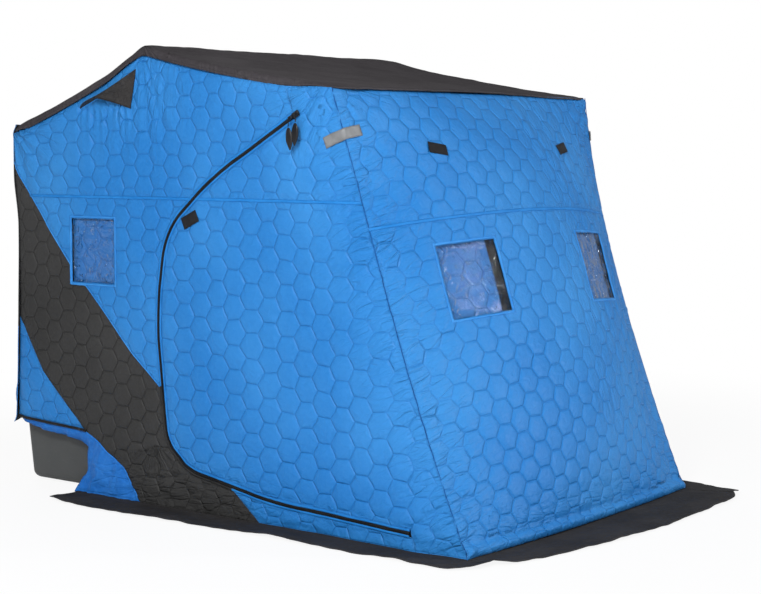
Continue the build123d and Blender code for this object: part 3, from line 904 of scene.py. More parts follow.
def woven_tape(name, colour, deep, rib, roughness=0.55):
    """Narrow woven tape or plain cloth: a fine rib, and a little wear."""
    colour, deep = paint(*colour), paint(*deep)
    finish = Finish(name, Roughness=roughness)
    finish.set("Specular IOR Level", 0.2)
    at = finish.place()
    soft = finish.cloud(at, 14.0, 3.0)
    finish.set("Base Color", finish.mix(soft.between(0.3, 0.75), deep, colour))
    finish.set("Roughness", roughness + 0.12 * (soft - 0.5))
    weave = (finish.cloud(at, rib, 1.0) - 0.5) * 0.0004
    finish.relief(weave + (finish.cloud(at, 60.0, 2.0) - 0.5) * 0.0012)
    return finish.material


vinyl = clear_vinyl()
blue_tape = woven_tape("blue_tape", (62, 142, 214), (42, 124, 200), 700.0)
openings = {
    "left_window": walls["left"],
    "right_window": walls["right"],
    "front_left_window": front_wall,
    "front_right_window": front_wall,
}
# How each cover's width and height compare with its pane's, and how far it hangs to one side, so
# that the dark cabin shows beside it.
cover_lay = {
    "left_window": ((1.08, 1.08), (0.0, 0.0)),
    "right_window": ((1.08, 1.08), (0.0, 0.0)),
    "front_left_window": ((0.91, 1.10), (-0.025, 0)),
    "front_right_window": ((0.97, 1.10), (-0.014, 0)),
}


def behind_window(node, wall):
    """The wall that a window's cover hangs on, inside the real one."""
    low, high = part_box(node)
    middle = Vector(wall.lay((low + high) / 2))
    scale, aside = cover_lay[node]
    wider = lambda p: middle + Vector(aside) + (Vector(wall.lay(p)) - middle) * Vector(scale)
    deeper = lambda a, b, out: wall.place(a, b, out - cover_depth)
    return Wall(wall.facing, wider, deeper, wall.pull)


def window_tape(node, wall):
    """The flat tape round a window, and the strip that it is cut from."""
    tape = outside_of([node], wall)
    bmesh.ops.dissolve_faces(tape, faces=tape.faces[:])
    spans = [sorted(vert.co[k] for vert in tape.verts) for k in (0, 1)]
    centre, half = [Vector([(span[-1] + sign * span[0]) / 2 for span in spans]) for sign in (1, -1)]
    for vert in tape.verts:
        grown = Vector([(vert.co[k] - centre[k]) * (1 + binding_width / half[k]) for k in (0, 1)])
        vert.co = flat_at(centre + grown)
    bmesh.ops.inset_region(tape, faces=tape.faces[:], thickness=binding_width, use_boundary=True)
    pane_face = max(tape.faces, key=lambda face: face.calc_area())
    bmesh.ops.delete(tape, geom=[pane_face], context="FACES")
    return tape, (binding_width, 4 * (half.x + half.y + binding_width))


for node, wall in openings.items():
    crinkle = lambda p: -pane_depth + 0.0022 * ripple(p.x * 21, p.y * 21, 71.0)
    cloth = outside_of([node], wall)
    pane = sheet_of(node + "_pane", cloth, wall, [vinyl], 0.009, pane_thickness, crinkle)
    keep(pane, "window_clear", node)
    behind = behind_window(node, wall)
    cloth = outside_of([node], behind)
    cover = quilt(node + "_cover", cloth, behind, quilt_blue, cover_shift)
    keep(cover, "quilt_blue")
    tape, size = window_tape(node, wall)
    raised = lambda p: binding_rise
    binding = sheet_of(node + "_binding", tape, wall, [blue_tape], 0.02, binding_thickness, raised, flat=size)
    keep(binding, "quilt_blue")

# ================================================================ door zips
# A coil zip runs round each door: one tape on the door, one on the wall, and two rows of teeth
# that mesh between them. The cut edges on both sides are bound, and a flap behind stops the wind.
tooth_pitch = 0.0046
# The strips' shapes: nearer and further edge, height, thickness and arch.
tape_shape = (0.0012, 0.0082, 0.0012, 0.0026, 0.0)
door_binding_shape = (0.0072, 0.0170, 0.0020, 0.0045, 0.0016)
wall_binding_shape = (0.0072, 0.0170, 0.0020, 0.0045, 0.0012)
flap_shape = (-0.016, 0.024, -0.0115, 0.0020, 0.0)
stop_shape = (-0.0115, 0.0115, 0.0085, 0.0034, 0.0)
end_tape_shape = (-0.014, 0.014, -0.0125, 0.0020, 0.0)
door_middle = (-0.15, 0.85)
black_rear = 0.551              # the binding is black from this height down, beside the black panel,
black_front = 0.022             # and forward to here
zip_overrun = 0.036             # the zip's head is sewn down this far past the hinge line
zip_tape = woven_tape("zip_tape", (40, 40, 41), (30, 30, 31), 500.0, 0.6)
zip_teeth = woven_tape("zip_teeth", (34, 34, 35), (24, 24, 25), 200.0, 0.42)
edge_blue = woven_tape("edge_binding_blue", (38, 126, 200), (26, 114, 188), 600.0)
edge_black = woven_tape("edge_binding_black", (48, 48, 48), (38, 38, 38), 600.0)


def outline_of(cloth, chosen, step):
    """Points every step along the chosen part of a flat cloth's outline, from its top end."""
    edges = [e for e in cloth.edges if e.is_boundary and chosen((e.verts[0].co + e.verts[1].co) / 2)]
    ends = {}
    for edge in edges:
        for vert in edge.verts:
            ends.setdefault(vert, []).append(edge)
    vert = min((v for v in ends if len(ends[v]) == 1), key=lambda v: (-v.co.y, v.co.x))
    points = [vert.co.copy()]
    used = set()
    while True:
        ahead = [edge for edge in ends[vert] if edge not in used]
        if not ahead:
            break
        used.add(ahead[0])
        vert = ahead[0].other_vert(vert)
        points.append(vert.co.copy())
    spaced = [points[0]]
    left = step
    for start, end in zip(points, points[1:]):
        length = (end - start).length
        while length > left:
            spaced.append(start + (end - start) * left / length)
            left += step
        left -= length
    return spaced


def beside_path(path, away):
    """Each point of a flat path with the direction across it that leads away from a point."""
    points = []
    for index, point in enumerate(path):
        run = path[min(index + 1, len(path) - 1)] - path[max(index - 1, 0)]
        across = Vector((run.y, -run.x, 0)).normalized()
        if across.dot(point - flat_at(away)) < 0:
            across = -across
        points.append((point, across))
    return points


def ribbon(name, wall, beside, shape, material):
    """A narrow strip of cloth along a path on a wall: its shape is the two distances to one side of
    the path that it lies between, its height, its thickness and how far its middle stands up."""
    near, far, height, thickness, arch = shape
    strip = bmesh.new()
    last = len(beside) - 1
    bmesh.ops.create_grid(strip, x_segments=4, y_segments=last, size=1.0)
    width = abs(far - near)
    edge = [(1 - abs(vert.co.x)) * width / 2 for vert in strip.verts]

    def placed(index, point):
        at, across = beside[round((point.y + 1) / 2 * last)]
        on = at + across * (near + (far - near) * (point.x + 1) / 2)
        return on, height + arch * (1 - point.x**2)

    lay_out(strip, wall, edge, placed)
    piece = finish_sheet(strip, name, wall, [material], thickness)
    length = sum((b[0] - a[0]).length for a, b in zip(beside, beside[1:]))
    return piece


def tube(name, points, radius, material):
    """A round cord through some points."""
    line = bpy.data.curves.new(name + "_line", "CURVE")
    line.dimensions = "3D"
    line.bevel_depth = radius
    line.bevel_resolution = 2
    line.use_fill_caps = True
    spline = line.splines.new("POLY")
    spline.points.add(len(points) - 1)
    for point, place in zip(spline.points, points):
        point.co = (*place, 1.0)
    shape = bpy.data.objects.new(name + "_line", line)
    mesh = bpy.data.meshes.new_from_object(shape)
    mesh.name = name
    bpy.data.curves.remove(line)
    return link_piece(name, mesh, [material])


def teeth(name, wall, beside, shift):
    """A row of zip teeth along a path on a wall, each a small block."""
    row = bmesh.new()
    for (point, across), (ahead, _) in zip(beside[1:], beside[2:]):
        place = wall.place(*(point + across * shift).xy, 0.0040)
        forward = (wall.place(*(ahead + across * shift).xy, 0.0040) - place).normalized()
        sideways = forward.cross(wall.facing).normalized()
        turn = Matrix((forward, sideways, forward.cross(sideways))).transposed().to_4x4()
        size = Matrix.Diagonal((tooth_pitch * 0.52, 0.0050, 0.0030, 1.0))
        here = Matrix.Translation(place + forward * shift * 0.9) @ turn @ size
        bmesh.ops.create_cube(row, size=1.0, matrix=here)
    return piece_of(row, name, [zip_teeth])


def zip_line(side, step):
    """The middle line of a door's zip, with the direction from the door to the wall."""
    tape = outside_of([side + "_door_zip"], walls[side])
    wall_tape = outside_of([side + "_wall_zip"], walls[side])
    sides = [numpy.array([e.verts[k].co[:2] for e in wall_tape.edges if e.is_boundary]) for k in (0, 1)]
    near = lambda p: distance_to(numpy.array([p[:2]]), *sides)[0] < 0.0075 and not on_hinge(p)
    path = outline_of(tape, near, step)
    beside = beside_path(path, door_middle)
    for cloth in (tape, wall_tape):
        cloth.free()
    return [(point + across * 0.003, across) for point, across in beside]


for side, wall in walls.items():
    line = zip_line(side, 0.009)
    fine = zip_line(side, tooth_pitch)
    by_door = [(point, -across) for point, across in line]
    door_parts = [
        ribbon(side + "_door_zip_tape", wall, by_door, tape_shape, zip_tape),
        ribbon(side + "_door_binding", wall, by_door, door_binding_shape, edge_blue),
        teeth(side + "_door_teeth", wall, fine, -0.0016),
    ]
    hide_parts(side + "_door_zip")
    for piece in door_parts:
        bend_at_hinge(piece)

    head = line[0][0]
    direction = (line[0][0] - line[2][0]).normalized()
    past = line[-1][0] + (line[-1][0] - line[-3][0]).normalized() * 0.022
    behind = beside_path([point for point, _ in line] + [past], door_middle)
    stop = beside_path([head + direction * (zip_overrun - 0.006 * n) for n in range(7)], door_middle)
    wall_parts = [
        ribbon(side + "_wall_zip_tape", wall, line, tape_shape, zip_tape),
        ribbon(side + "_zip_flap", wall, behind, flap_shape, zip_tape),
        ribbon(side + "_zip_stop", wall, stop, stop_shape, zip_tape),
        teeth(side + "_wall_teeth", wall, fine, 0.0016),
    ]
    low = next(n for n, (point, _) in enumerate(line) if point.y < black_rear)
    front = next(n for n, (point, _) in enumerate(line) if n > low and point.x < black_front)
    stretches = {"upper": (0, low), "black": (low, front), "sill": (front, len(line) - 1)}
    for stretch, (first, last) in stretches.items():
        material, slot = (edge_black, "quilt_black") if stretch == "black" else (edge_blue, "quilt_blue")
        name = f"{side}_wall_binding_{stretch}"
        wall_parts.append(ribbon(name, wall, line[first:last + 1], wall_binding_shape, material))
    # Beyond the zip's head and toe the bend line is closed by a tape behind the cloth.
    for end, start, run in (("head", hinge_head, hinge_up * 0.126), ("toe", hinge_toe, hinge_up * -0.066)):
        behind_slit = beside_path([flat_at(start + run * n / 6) for n in range(7)], door_middle)
        name = f"{side}_{end}_tape"
        wall_parts.append(ribbon(name, wall, behind_slit, end_tape_shape, edge_blue))
    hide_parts(side + "_wall_zip")
    for piece in wall_parts:
        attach(piece, "shelter")

# ================================================================ level seams
# The upper and lower panels of the side walls and of the front wall lap at a level seam. It is
# sewn down twice, so a narrow band stands up there.
seam_shape = (-0.0062, 0.0062, 0.0016, 0.0040, 0.0008)
for side, wall in walls.items():
    crossing = min(zip_line(side, 0.004), key=lambda part: abs(part[0].y - seam_height))[0].x
    stretches = {"door": (corner_y(seam_height) + 0.012, crossing - 0.013), "rear": (crossing + 0.013, 1.286)}
    for stretch, (start, end) in stretches.items():
        count = math.ceil((end - start) / 0.03)
        run = [Vector((start + (end - start) * n / count, seam_height, 0)) for n in range(count + 1)]
        level = beside_path(run, (0, 3))
        name = f"{side}_seam_{stretch}"
        band = ribbon(name, wall, level, seam_shape, edge_blue)
        if stretch == "door":
            bend_at_hinge(band)
        else:
            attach(band, "shelter")

panel_foot = lambda p: p.y < 1.5 and abs(p.x) < 0.93
seam_points = outline_of(outside_of(["front_upper_panel"], front_wall), panel_foot, 0.03)
level = beside_path(seam_points, (0, 3))
band = ribbon("front_seam", front_wall, level, seam_shape, edge_blue)
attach(band, "shelter")

# ================================================================ piping
# A cord in folded light blue tape is sewn into the seam along the upper edge of each black panel,
# and stands up a little there.
for side, wall in walls.items():
    edge = outside_of([side + "_accent_panel"], wall)
    upper = lambda p: p.y > 0.33 + (p.x - 0.5) * 0.92 and p.y > 0.535 and p.x < 1.375
    path = outline_of(edge, upper, 0.018)
    piece = tube(side + "_accent_piping", [wall.place(p.x, p.y, 0.0005) for p in path], 0.0026, blue_tape)
    keep(piece, "quilt_blue")
    edge.free()

# ================================================================ hem zips and aprons
# Below the rear part of each side wall a plain unlined apron closes the gap beside the sled. It
# is joined on by a level zip, and pulled in to the sled, so it folds slantwise.
def crumpled_cloth(name, colour, deep, bright, roughness, fold, stitch_in=0.012):
    """Plain coated cloth with soft folds, and a line of stitches inside its edges."""
    colour, deep, bright = paint(*colour), paint(*deep), paint(*bright)
    finish = Finish(name, Roughness=roughness)
    finish.set("Specular IOR Level", 0.06)
    at = finish.place()
    seam = finish.attribute("seam")
    soft = finish.cloud(at, 4.0, 3.0)
    fine = finish.cloud(at, 45.0, 3.0)
    shade = finish.mix(soft.between(0.3, 0.7), deep, colour)
    shade = finish.mix(fine.between(0.4, 0.8) * 0.35, shade, bright)
    thread = 1.0 - abs(seam - stitch_in).between(0.0006, 0.0022)
    finish.set("Base Color", finish.mix(thread * 0.35, shade, deep))
    finish.set("Roughness", roughness + 0.10 * (fine - 0.5))
    folds = (finish.cloud(at, 7.0, 3.0, distortion=1.2) - 0.5) * fold
    small = (finish.cloud(at, 38.0, 3.0, distortion=0.5) - 0.5) * 0.0022
    weave = (finish.cloud(at, 800.0, 0.0) - 0.5) * 0.00014
    finish.relief(folds + small + weave + creases(finish, 0.7) - thread * 0.0012)
    return finish.material


apron_blue = crumpled_cloth("apron_blue", (46, 120, 204), (32, 104, 188), (66, 140, 218), 0.5, 0.010)
slider_metal = woven_tape("slider_black", (44, 44, 46), (26, 26, 28), 120.0, 0.30)


def apron_folds(point):
    """The apron's folds, which die out along its seam on the black panel."""
    seam = numpy.array([apron_outline[n] for n in (-3, -2, -1)])
    loose = distance_to(numpy.array([point[:2]]), seam[:-1], seam[1:])[0]
    slope = (point.x - 0.95) + 0.62 * (point.y - 0.2)
    fold = ripple(slope * 17, (point.x - point.y) * 3.5, 83.0)
    fold += 0.5 * ripple(point.x * 30 + point.y * 20, point.y * 9, 87.0)
    return 0.017 * fold * smooth((hem_line(point.x) - point.y) / 0.05) * smooth(0.1 + loose / 0.05)


# Its outline, from the zip's rear end down round the sled and back up the black panel's edge.
apron_thickness = 0.0030
apron_outline = [
    (1.386, 0.3140), (1.368, 0.298), (1.300, 0.281), (1.198, 0.262), (1.053, 0.250),
    (0.985, 0.236), (0.957, 0.215), (0.962, 0.160), (0.985, 0.080), (1.018, 0.0065),
    (0.582, 0.0065), (0.685, 0.154), (0.934, 0.300),
]


def flat_cloth(points):
    """A flat cloth cut to an outline of a few points."""
    cloth = bmesh.new()
    cloth.faces.new([cloth.verts.new(flat_at(point)) for point in points])
    return cloth


def rounded_block(name, size, at, turned, material, round_by=0.0015):
    """A small moulded block with softened edges."""
    block = bmesh.new()
    bmesh.ops.create_cube(block, size=1.0)
    move(block, Matrix.Diagonal((*size, 1.0)))
    soften(block, block.edges[:], round_by, 3)
    move(block, Matrix.Translation(at) @ turned.to_4x4())
    return piece_of(block, name, [material])


def facing_turn(wall, forward):
    """The turn of a small part that lies on a wall: its length forward, its height outward."""
    up = wall.facing.normalized()
    across = up.cross(forward).normalized()
    return Matrix((across.cross(up), across, up)).transposed()


for side, wall in walls.items():
    cloth = flat_cloth(apron_outline)
    apron = sheet_of(side + "_apron", cloth, wall, [apron_blue], 0.014, apron_thickness, apron_folds)
    keep(apron, "quilt_blue", side + "_lower_rear_panel")

    run = [flat_at((y, hem_line(y) - 0.002)) for y in (hem_zip_rear - 0.0125 * n for n in range(41))]
    level = beside_path(run, (1.2, 1.0))
    strip = ribbon(side + "_hem_zip_tape", wall, level, (-0.0065, 0.0065, 0.0075, 0.0026, 0.0), zip_tape)
    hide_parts(side + "_hem_zip")
    run = [wall.place(point.x, point.y, 0.0088) for point in run]
    coil = tube(side + "_hem_coil", run, 0.0022, zip_teeth)
    spot = wall.place(hem_slider_y, hem_line(hem_slider_y), 0.013)
    turned = facing_turn(wall, run[-2] - run[-1])
    slider = rounded_block(side + "_hem_slider", (0.018, 0.011, 0.009), spot, turned, slider_metal, 0.002)
    drop = spot + Vector((0, -0.012, 0.003))
    tag = rounded_block(side + "_hem_pull", (0.026, 0.006, 0.003), drop, turned, slider_metal, 0.001)
    for part in (strip, coil, slider, tag):
        keep(part, "zip_black")

# ================================================================ roof
# The roof is black coated cloth over the hoops, in a front and a rear piece sewn at the ridge.
# Its sides and its rear edge turn down over the walls, and it hangs a little between the hoops.
roof_turn = 0.026               # radius of the turned edges
roof_drop = 0.035               # how far an edge hangs below the roof
roof_thickness = 0.006
roof_black = crumpled_cloth("roof_cloth", (69, 66, 69), (60, 57, 60), (80, 77, 80), 0.85, 0.009)


def roof_half(y):
    reach = min(max((ridge_y - y) / (ridge_y - corner_head), 0.0), 1.03)
    return half_width + corner_flare * reach + 0.009 - 0.007 * smooth((y - 1.15) / 0.22)


def over_edge(beyond):
    """How far along and how far down a cloth is that turns over an edge."""
    turn = min(max(beyond, 0.0) / roof_turn, math.pi / 2)
    hanging = max(beyond - roof_turn * math.pi / 2, 0.0)
    return turn, roof_turn * math.sin(turn) + min(beyond, 0.0), roof_turn * (1 - math.cos(turn)) + hanging


def over_bar(y):
    """How far the cloth stands up where it is pulled over the ridge bar."""
    return 0.018 * math.exp(-(((y - ridge_y) / (0.12 if y < ridge_y else 0.050)) ** 2))


def roof_place(x, y, out):
    side_turn, across, side_drop = over_edge(abs(x) - (roof_half(y) - roof_turn))
    rear_turn, back, rear_drop = over_edge(y - (rear_eave_y + 0.006 - roof_turn))
    fold = 0.0045 * ripple(x * 1.6, y * 2.4, 91.0)
    fold += 0.0030 * ripple(x * 4 + y * 3, y * 9, 94.0)
    fold += 0.0022 * ripple(x * 14, y * 14, 96.0)
    fold *= 1 - 0.6 * (side_turn > 0)
    fold -= 0.006 * (1 - (x / 0.9) ** 2) * math.sin(math.pi * min(max((y + 0.6) / 1.13, 0), 1))
    out += fold
    # The corner poles show as slight lifts at the rear corners.
    out += 0.008 * math.exp(-((abs(x) - 0.80) ** 2 + (y - 1.30) ** 2) / 0.012)
    # Its front edge is drawn down on to the front wall, and its ends at the ridge are rounded off.
    out -= 0.008 * smooth(1 - (y + 0.62) / 0.07) + 0.007 * smooth((x - 0.3) / 0.5) * smooth((0.1 - y) / 0.5)
    out -= 0.005 * math.exp(-(((y - ridge_y) / 0.06) ** 2)) * smooth((abs(x) - 0.80) / 0.08)
    level = rear_eave_y + 0.006 - roof_turn + back + out * math.sin(rear_turn)
    width = roof_half(y) - roof_turn + across + out * math.sin(side_turn)
    height = roof_height(min(y, rear_eave_y)) - side_drop - rear_drop
    # The cloth stands up over the ridge bar, and its rear part is drawn down along both sides.
    height += over_bar(y) - rear_slope(y) * smooth((abs(x) - 0.60) / 0.22)
    height += out * math.cos(side_turn) * math.cos(rear_turn)
    return Vector((math.copysign(width, x), level, height))


def roof_pull(x, y):
    edge = max(roof_half(y) - abs(x), 0.0)
    return strongest(
        (y + 0.35 * abs(x), edge * 0.25, 0.6 * math.exp(-edge / 0.16)),
        (y + 0.10 * x, x * 0.2, 0.25),
        spread(x, y, (-0.86, 0.53), 0.4),
        spread(x, y, (0.86, 0.53), 0.4),
    )


def roof_edge(y):
    """Where the cut edge of the flat roof cloth is, beside the centre line."""
    lip = 0.008 + (roof_drop - 0.008) * smooth((y - corner_head - 0.02) / 0.27) * smooth((1.50 - y) / 0.24)
    lip += 0.8 * over_bar(y) + 0.4 * rear_slope(y) * smooth((1.36 - y) / 0.1)
    return roof_half(y) - roof_turn + roof_turn * math.pi / 2 + lip - roof_turn


roof_wall = Wall((0, 0, 1), lambda p: (p.x, p.y), roof_place, roof_pull)
front_stations = (-0.598, -0.56, -0.5, -0.44, -0.38, -0.31, 0.0, 0.3, 0.4, 0.46, ridge_y)
rear_stations = (ridge_y, 0.555, 0.58, 0.61, 0.66, 0.8, 1.1, 1.2, 1.28, 1.34, 1.375)
front_points = [(x / 8, -0.622 - 0.030 * (1 - (x / 7.7) ** 2)) for x in range(-7, 8)]
front_sides = [(roof_edge(y), y) for y in front_stations]
rear_cut = rear_eave_y + 0.006 - roof_turn + roof_turn * math.pi / 2 + roof_drop - roof_turn
rear_sides = [(roof_edge(y), y) for y in rear_stations] + [(0.865, rear_cut - 0.006)]
outlines = {
    "roof_front_panel": front_points + front_sides + [(-x, y) for x, y in front_sides[::-1]],
    "roof_rear_panel": rear_sides + [(-x, y) for x, y in rear_sides[::-1]],
}
for node, points in outlines.items():
    cloth = flat_cloth(points)
    both = [roof_black, lining]
    piece = sheet_of(node + "_cloth", cloth, roof_wall, both, 0.016, roof_thickness, flush)
    keep(piece, "roof_black", node)

# ================================================================ vent hoods
# A hood of black cloth keeps the weather out of each vent. It is sewn to the wall along both
# slanted edges, stands off it along a crease down its middle, and is open below.
hood_top = Vector((0.884, 0.566, 1.940))
hood_front = Vector((0.887, 0.603, 1.767))
hood_rear = Vector((0.889, 0.898, 1.776))
hood_point = Vector((0.958, 0.748, 1.815))
hood_thickness = 0.003
hood_black = crumpled_cloth("hood_cloth", (58, 56, 56), (44, 43, 43), (74, 72, 71), 0.62, 0.006, 0.007)


def hood_at(down, across):
    """A place on the hood: how far down from its top, and how far round from front to rear."""
    crease = hood_top.lerp(hood_point, down)
    if across < 0:
        start = hood_top.lerp(hood_front, down)
        place = start.lerp(crease, 1 + across)
        place.x -= 0.012 * math.sin(math.pi * (1 + across)) * down
    else:
        end = hood_top.lerp(hood_rear, down)
        place = crease.lerp(end, across)
        place.x += (0.006 * math.sin(math.pi * across) - 0.010 * math.sin(2 * math.pi * across)) * down
    place.x += 0.004 * ripple(across * 3, down * 2, 101.0) * down * (1 - across**2)
    place.z += 0.016 * math.sin(math.pi * max(across, 0.0)) * down**4
    # The rear corner of its hem curls out.
    tail = smooth((across - 0.55) / 0.45) * smooth((down - 0.72) / 0.28)
    return place + tail * Vector((0.012, 0.014, -0.004))


def hood_pull(down, across):
    return (across * 0.25, down * 0.2, 0.5)


for side, wall in walls.items():
    sign = outward[side]
    hood = bmesh.new()
    bmesh.ops.create_grid(hood, x_segments=20, y_segments=28, size=1.0)
    starts, ends = seams_of(hood)
    edge = 0.15 * distance_to(numpy.array([vert.co[:2] for vert in hood.verts]), starts, ends)

    def put(down, across, out):
        place = hood_at(max((down + 1) / 2, 0.02), across)
        return Vector((sign * place.x, place.y, place.z))

    over = Wall(wall.facing, None, put, hood_pull)
    lay_out(hood, over, edge, lambda index, point: (point.copy(), 0.0))
    piece = finish_sheet(hood, side + "_vent_hood_cloth", over, [hood_black, lining], hood_thickness)
    keep(piece, "hood_black", side + "_vent_hood")

# ================================================================ ground skirts
# Skirts of heavy coated cloth lie out on the snow along both sides and across the front, so that
# snow can be banked on them. They are sewn under the walls' feet and hemmed along their edges.
skirt_black = crumpled_cloth("skirt_cloth", (57, 56, 57), (49, 48, 49), (67, 66, 67), 0.8, 0.008, 0.018)
skirt_thickness = 0.0035
skirt_points = [vert.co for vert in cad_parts["front_skirt"].data.vertices]
skirt_corner = max(skirt_points, key=lambda point: point.x - point.y)
skirt_round = 0.110             # radius of its front corners


def skirt_place(x, y, out):
    flat_x, flat_y = x, y
    foot = corner_foot - front_edge_bulge * (1 - min(abs(x) / half_width, 1.0) ** 2)
    away = max(abs(x) - half_width, foot - y, 0.0)
    loose = smooth(away / 0.15)
    ahead = smooth((corner_foot - y) / 0.16)
    # The front edge lies a little further out to the right than to the left.
    y -= (0.026 + 0.055 * x / 0.9 + 0.075 * max(x - 0.6, 0.0)) * ahead
    x += 0.012 * ahead * smooth((x - 0.7) / 0.3)
    wavy = noise.noise_vector(Vector((x * 3.2, y * 3.2, 111.0)))
    # Its corners are rounded off, and the cloth stands up a little there.
    beyond = Vector((abs(flat_x) - skirt_corner.x + skirt_round, skirt_corner.y + skirt_round - flat_y))
    tip = 0.0
    if min(beyond) > 0:
        kept = max(beyond) / beyond.length
        x -= math.copysign(beyond.x * (1 - kept), x)
        y += beyond.y * (1 - kept)
        tip = min(beyond) / skirt_round
    z = skirt_thickness + 0.0015 + 0.010 * loose * (0.5 + ripple(x * 4.5, y * 4.5, 113.0))
    z += 0.004 * loose * (0.6 + ripple(x * 16, y * 16, 115.0))
    # The loose rear corners curl up off the snow.
    curl = smooth((y - 0.80) / 0.17) * smooth((away - 0.06) / 0.13)
    z += 0.010 * curl**1.5 + 0.012 * tip + 0.0065 * math.exp(-max(away + 0.008, 0.0) / 0.012)
    return Vector((x + 0.012 * wavy.x * loose, y + 0.012 * wavy.y * loose, max(z, skirt_thickness) + out))


def skirt_pull(x, y):
    along = y if abs(x) > half_width else x
    return (along, (x + y) * 0.3, 0.35)


ground = Wall((0, 0, 1), lambda p: (p.x, p.y), skirt_place, skirt_pull)
for node in ("left_skirt", "right_skirt", "front_skirt"):
    cloth = outside_of([node], ground)
    piece = sheet_of(node + "_cloth", cloth, ground, [skirt_black], 0.018, skirt_thickness, flush)
    keep(piece, "skirt_black", node)

# ================================================================ front corner seams
# The front and side walls are sewn together down each front corner, over a narrow piping of tape
# that runs from the skirt up to the roof. Its dark navy is painted shade for the shadowed seam.
corner_shade_tape = woven_tape("corner_shade_tape", (8, 80, 146), (5, 66, 126), 700.0, 0.7)
piping_foot = 0.007
piping_head = 1.815
for side, wall in walls.items():
    sign = outward[side]
    line = []
    for n in range(60):
        z = piping_foot + (piping_head - piping_foot) * n / 59
        beside = wall.place(corner_y(z) + 0.011, z, 0.002)
        edge = sign * front_lay(Vector((corner_x(z), 0, z)))[0]
        ahead = front_place(edge, (z - front_rise(edge, z)) * slant, 0.002)
        line.append((beside + ahead) / 2)
    piece = tube(side + "_corner_piping", line, 0.0019, corner_shade_tape)
    keep(piece, "quilt_blue")

# ================================================================ reflectors
# A silver reflective tape is sewn on round each front corner, near the top, so that a lamp finds
# the shelter in the dark.
reflector_height = 0.044
reflector_foot = 1.621          # its lower edge, at the corner
reflector_back = 0.095          # how far back it reaches on the side wall
silver = Finish("reflective_tape", Roughness=0.55, Metallic=0.2)
beads = silver.cloud(silver.place(), 420.0, 1.0)
worn = silver.cloud(silver.place(), 30.0, 3.0)
silver.set("Base Color", silver.mix(worn.between(0.3, 0.8), paint(116, 118, 120), paint(133, 135, 137)))
silver.relief((beads - 0.5) * 0.0004 + (worn - 0.5) * 0.0015)
for side, wall in walls.items():
    sign = outward[side]

    def round_corner(s, t, out):
        z = reflector_foot + (0.36 if s < 0 else 0.19) * s + t
        if s < 0:
            return wall.place(corner_y(z) + 0.010 - s, z, out)
        edge = front_lay(Vector((corner_x(z), 0, z)))[0]
        return front_place(sign * (edge - s), (z - front_rise(edge - s, z)) * slant, out)

    corner = Wall((sign * 0.7, -0.7, 0), None, round_corner, lambda s, t: (t, s, 0.0))
    ahead = 0.085 if side == "left" else 0.012
    foot = [(-reflector_back, 0.0), (ahead, 0.0)]
    cloth = flat_cloth(foot + [(s, reflector_height) for s, _ in foot[::-1]])
    piece = sheet_of(side + "_reflector", cloth, corner, [silver.material], 0.011, 0.0015, lambda p: 0.0072)
    keep(piece, "quilt_blue")

# ================================================================ webbing tabs
# Short tabs of black webbing are sewn flat on the walls, one on each door and two on the front
# wall, where guy ropes and the rolled doors tie on.
tab_black = crumpled_cloth("tab_webbing", (44, 44, 46), (34, 34, 36), (58, 58, 60), 0.6, 0.002, 0.005)


def tab(name, wall, middle, size, tilt, body="shelter"):
    half = Vector(size) / 2
    turn = Matrix.Rotation(math.radians(tilt), 2)
    corners = [(-half.x, -half.y), (half.x, -half.y), (half.x, half.y), (-half.x, half.y)]
    cloth = flat_cloth([Vector(middle) + turn @ Vector(corner) for corner in corners])
    piece = sheet_of(name, cloth, wall, [tab_black], 0.010, 0.0030, lambda p: 0.0085)
    keep(piece, "zip_black", body=body)


for side, wall in walls.items():
    sign = outward[side]
    tab(side + "_door_tab", wall, (0.245, 1.284), (0.095, 0.052), -24, side + "_door")
    tab(f"front_{side}_tab", front_wall, (sign * 0.482, 1.576 * slant), (0.100, 0.047), 12 * sign)

# ================================================================ zip sliders and pulls
# Two sliders park at the head of each door zip, one for each face of the door, and each carries a
# moulded drop-shaped pull on a short cord.
rubber = woven_tape("pull_rubber", (36, 36, 38), (22, 22, 24), 90.0, 0.36)


def pull_drop(name, hang, lean, length=0.092, width=0.035, depth=0.012):
    """A flat moulded leaf, round at its top and pointed below, hanging by its upper end."""
    drop = bmesh.new()
    bmesh.ops.create_uvsphere(drop, u_segments=28, v_segments=20, radius=1.0)
    for vert in drop.verts:
        low = -vert.co.z
        pointed = 1 - 0.45 * smooth((low - 0.1) / 0.9)
        vert.co = Vector((vert.co.x * depth / 2, vert.co.y * width / 2 * pointed, vert.co.z * length / 2))
    turned = Matrix.Rotation(math.radians(lean), 4, "X")
    move(drop, Matrix.Translation(hang) @ turned @ Matrix.Translation((0, 0, -0.050)))
    return piece_of(drop, name, [rubber])


for side, wall in walls.items():
    sign = outward[side]
    line = [point for point, _ in zip_line(side, 0.01)[:4]]
    run = (line[0] - line[3]).normalized()
    for number, (ahead, lean, off) in enumerate(((-0.008, -6, 0.026), (0.034, 3, 0.018))):
        point = line[0] + run * ahead
        spot = wall.place(point.x, point.y, 0.014)
        forward = wall.place(*(point + run * 0.01).xy, 0.014) - spot
        turned = facing_turn(wall, forward)
        name = f"{side}_slider_{number}"
        slider = rounded_block(name, (0.022, 0.014, 0.010), spot, turned, slider_metal, 0.003)
        hang = spot + Vector((sign * off * 0.5, 0.0, -0.036))
        route = [spot, spot + Vector((sign * 0.010, 0, 0)), hang]
        cord = tube(f"{side}_pull_cord_{number}", route, 0.0022, rubber)
        drop = pull_drop(f"{side}_pull_{number}", hang, lean)
        for part in (slider, cord, drop):
            keep(part, "zip_black")

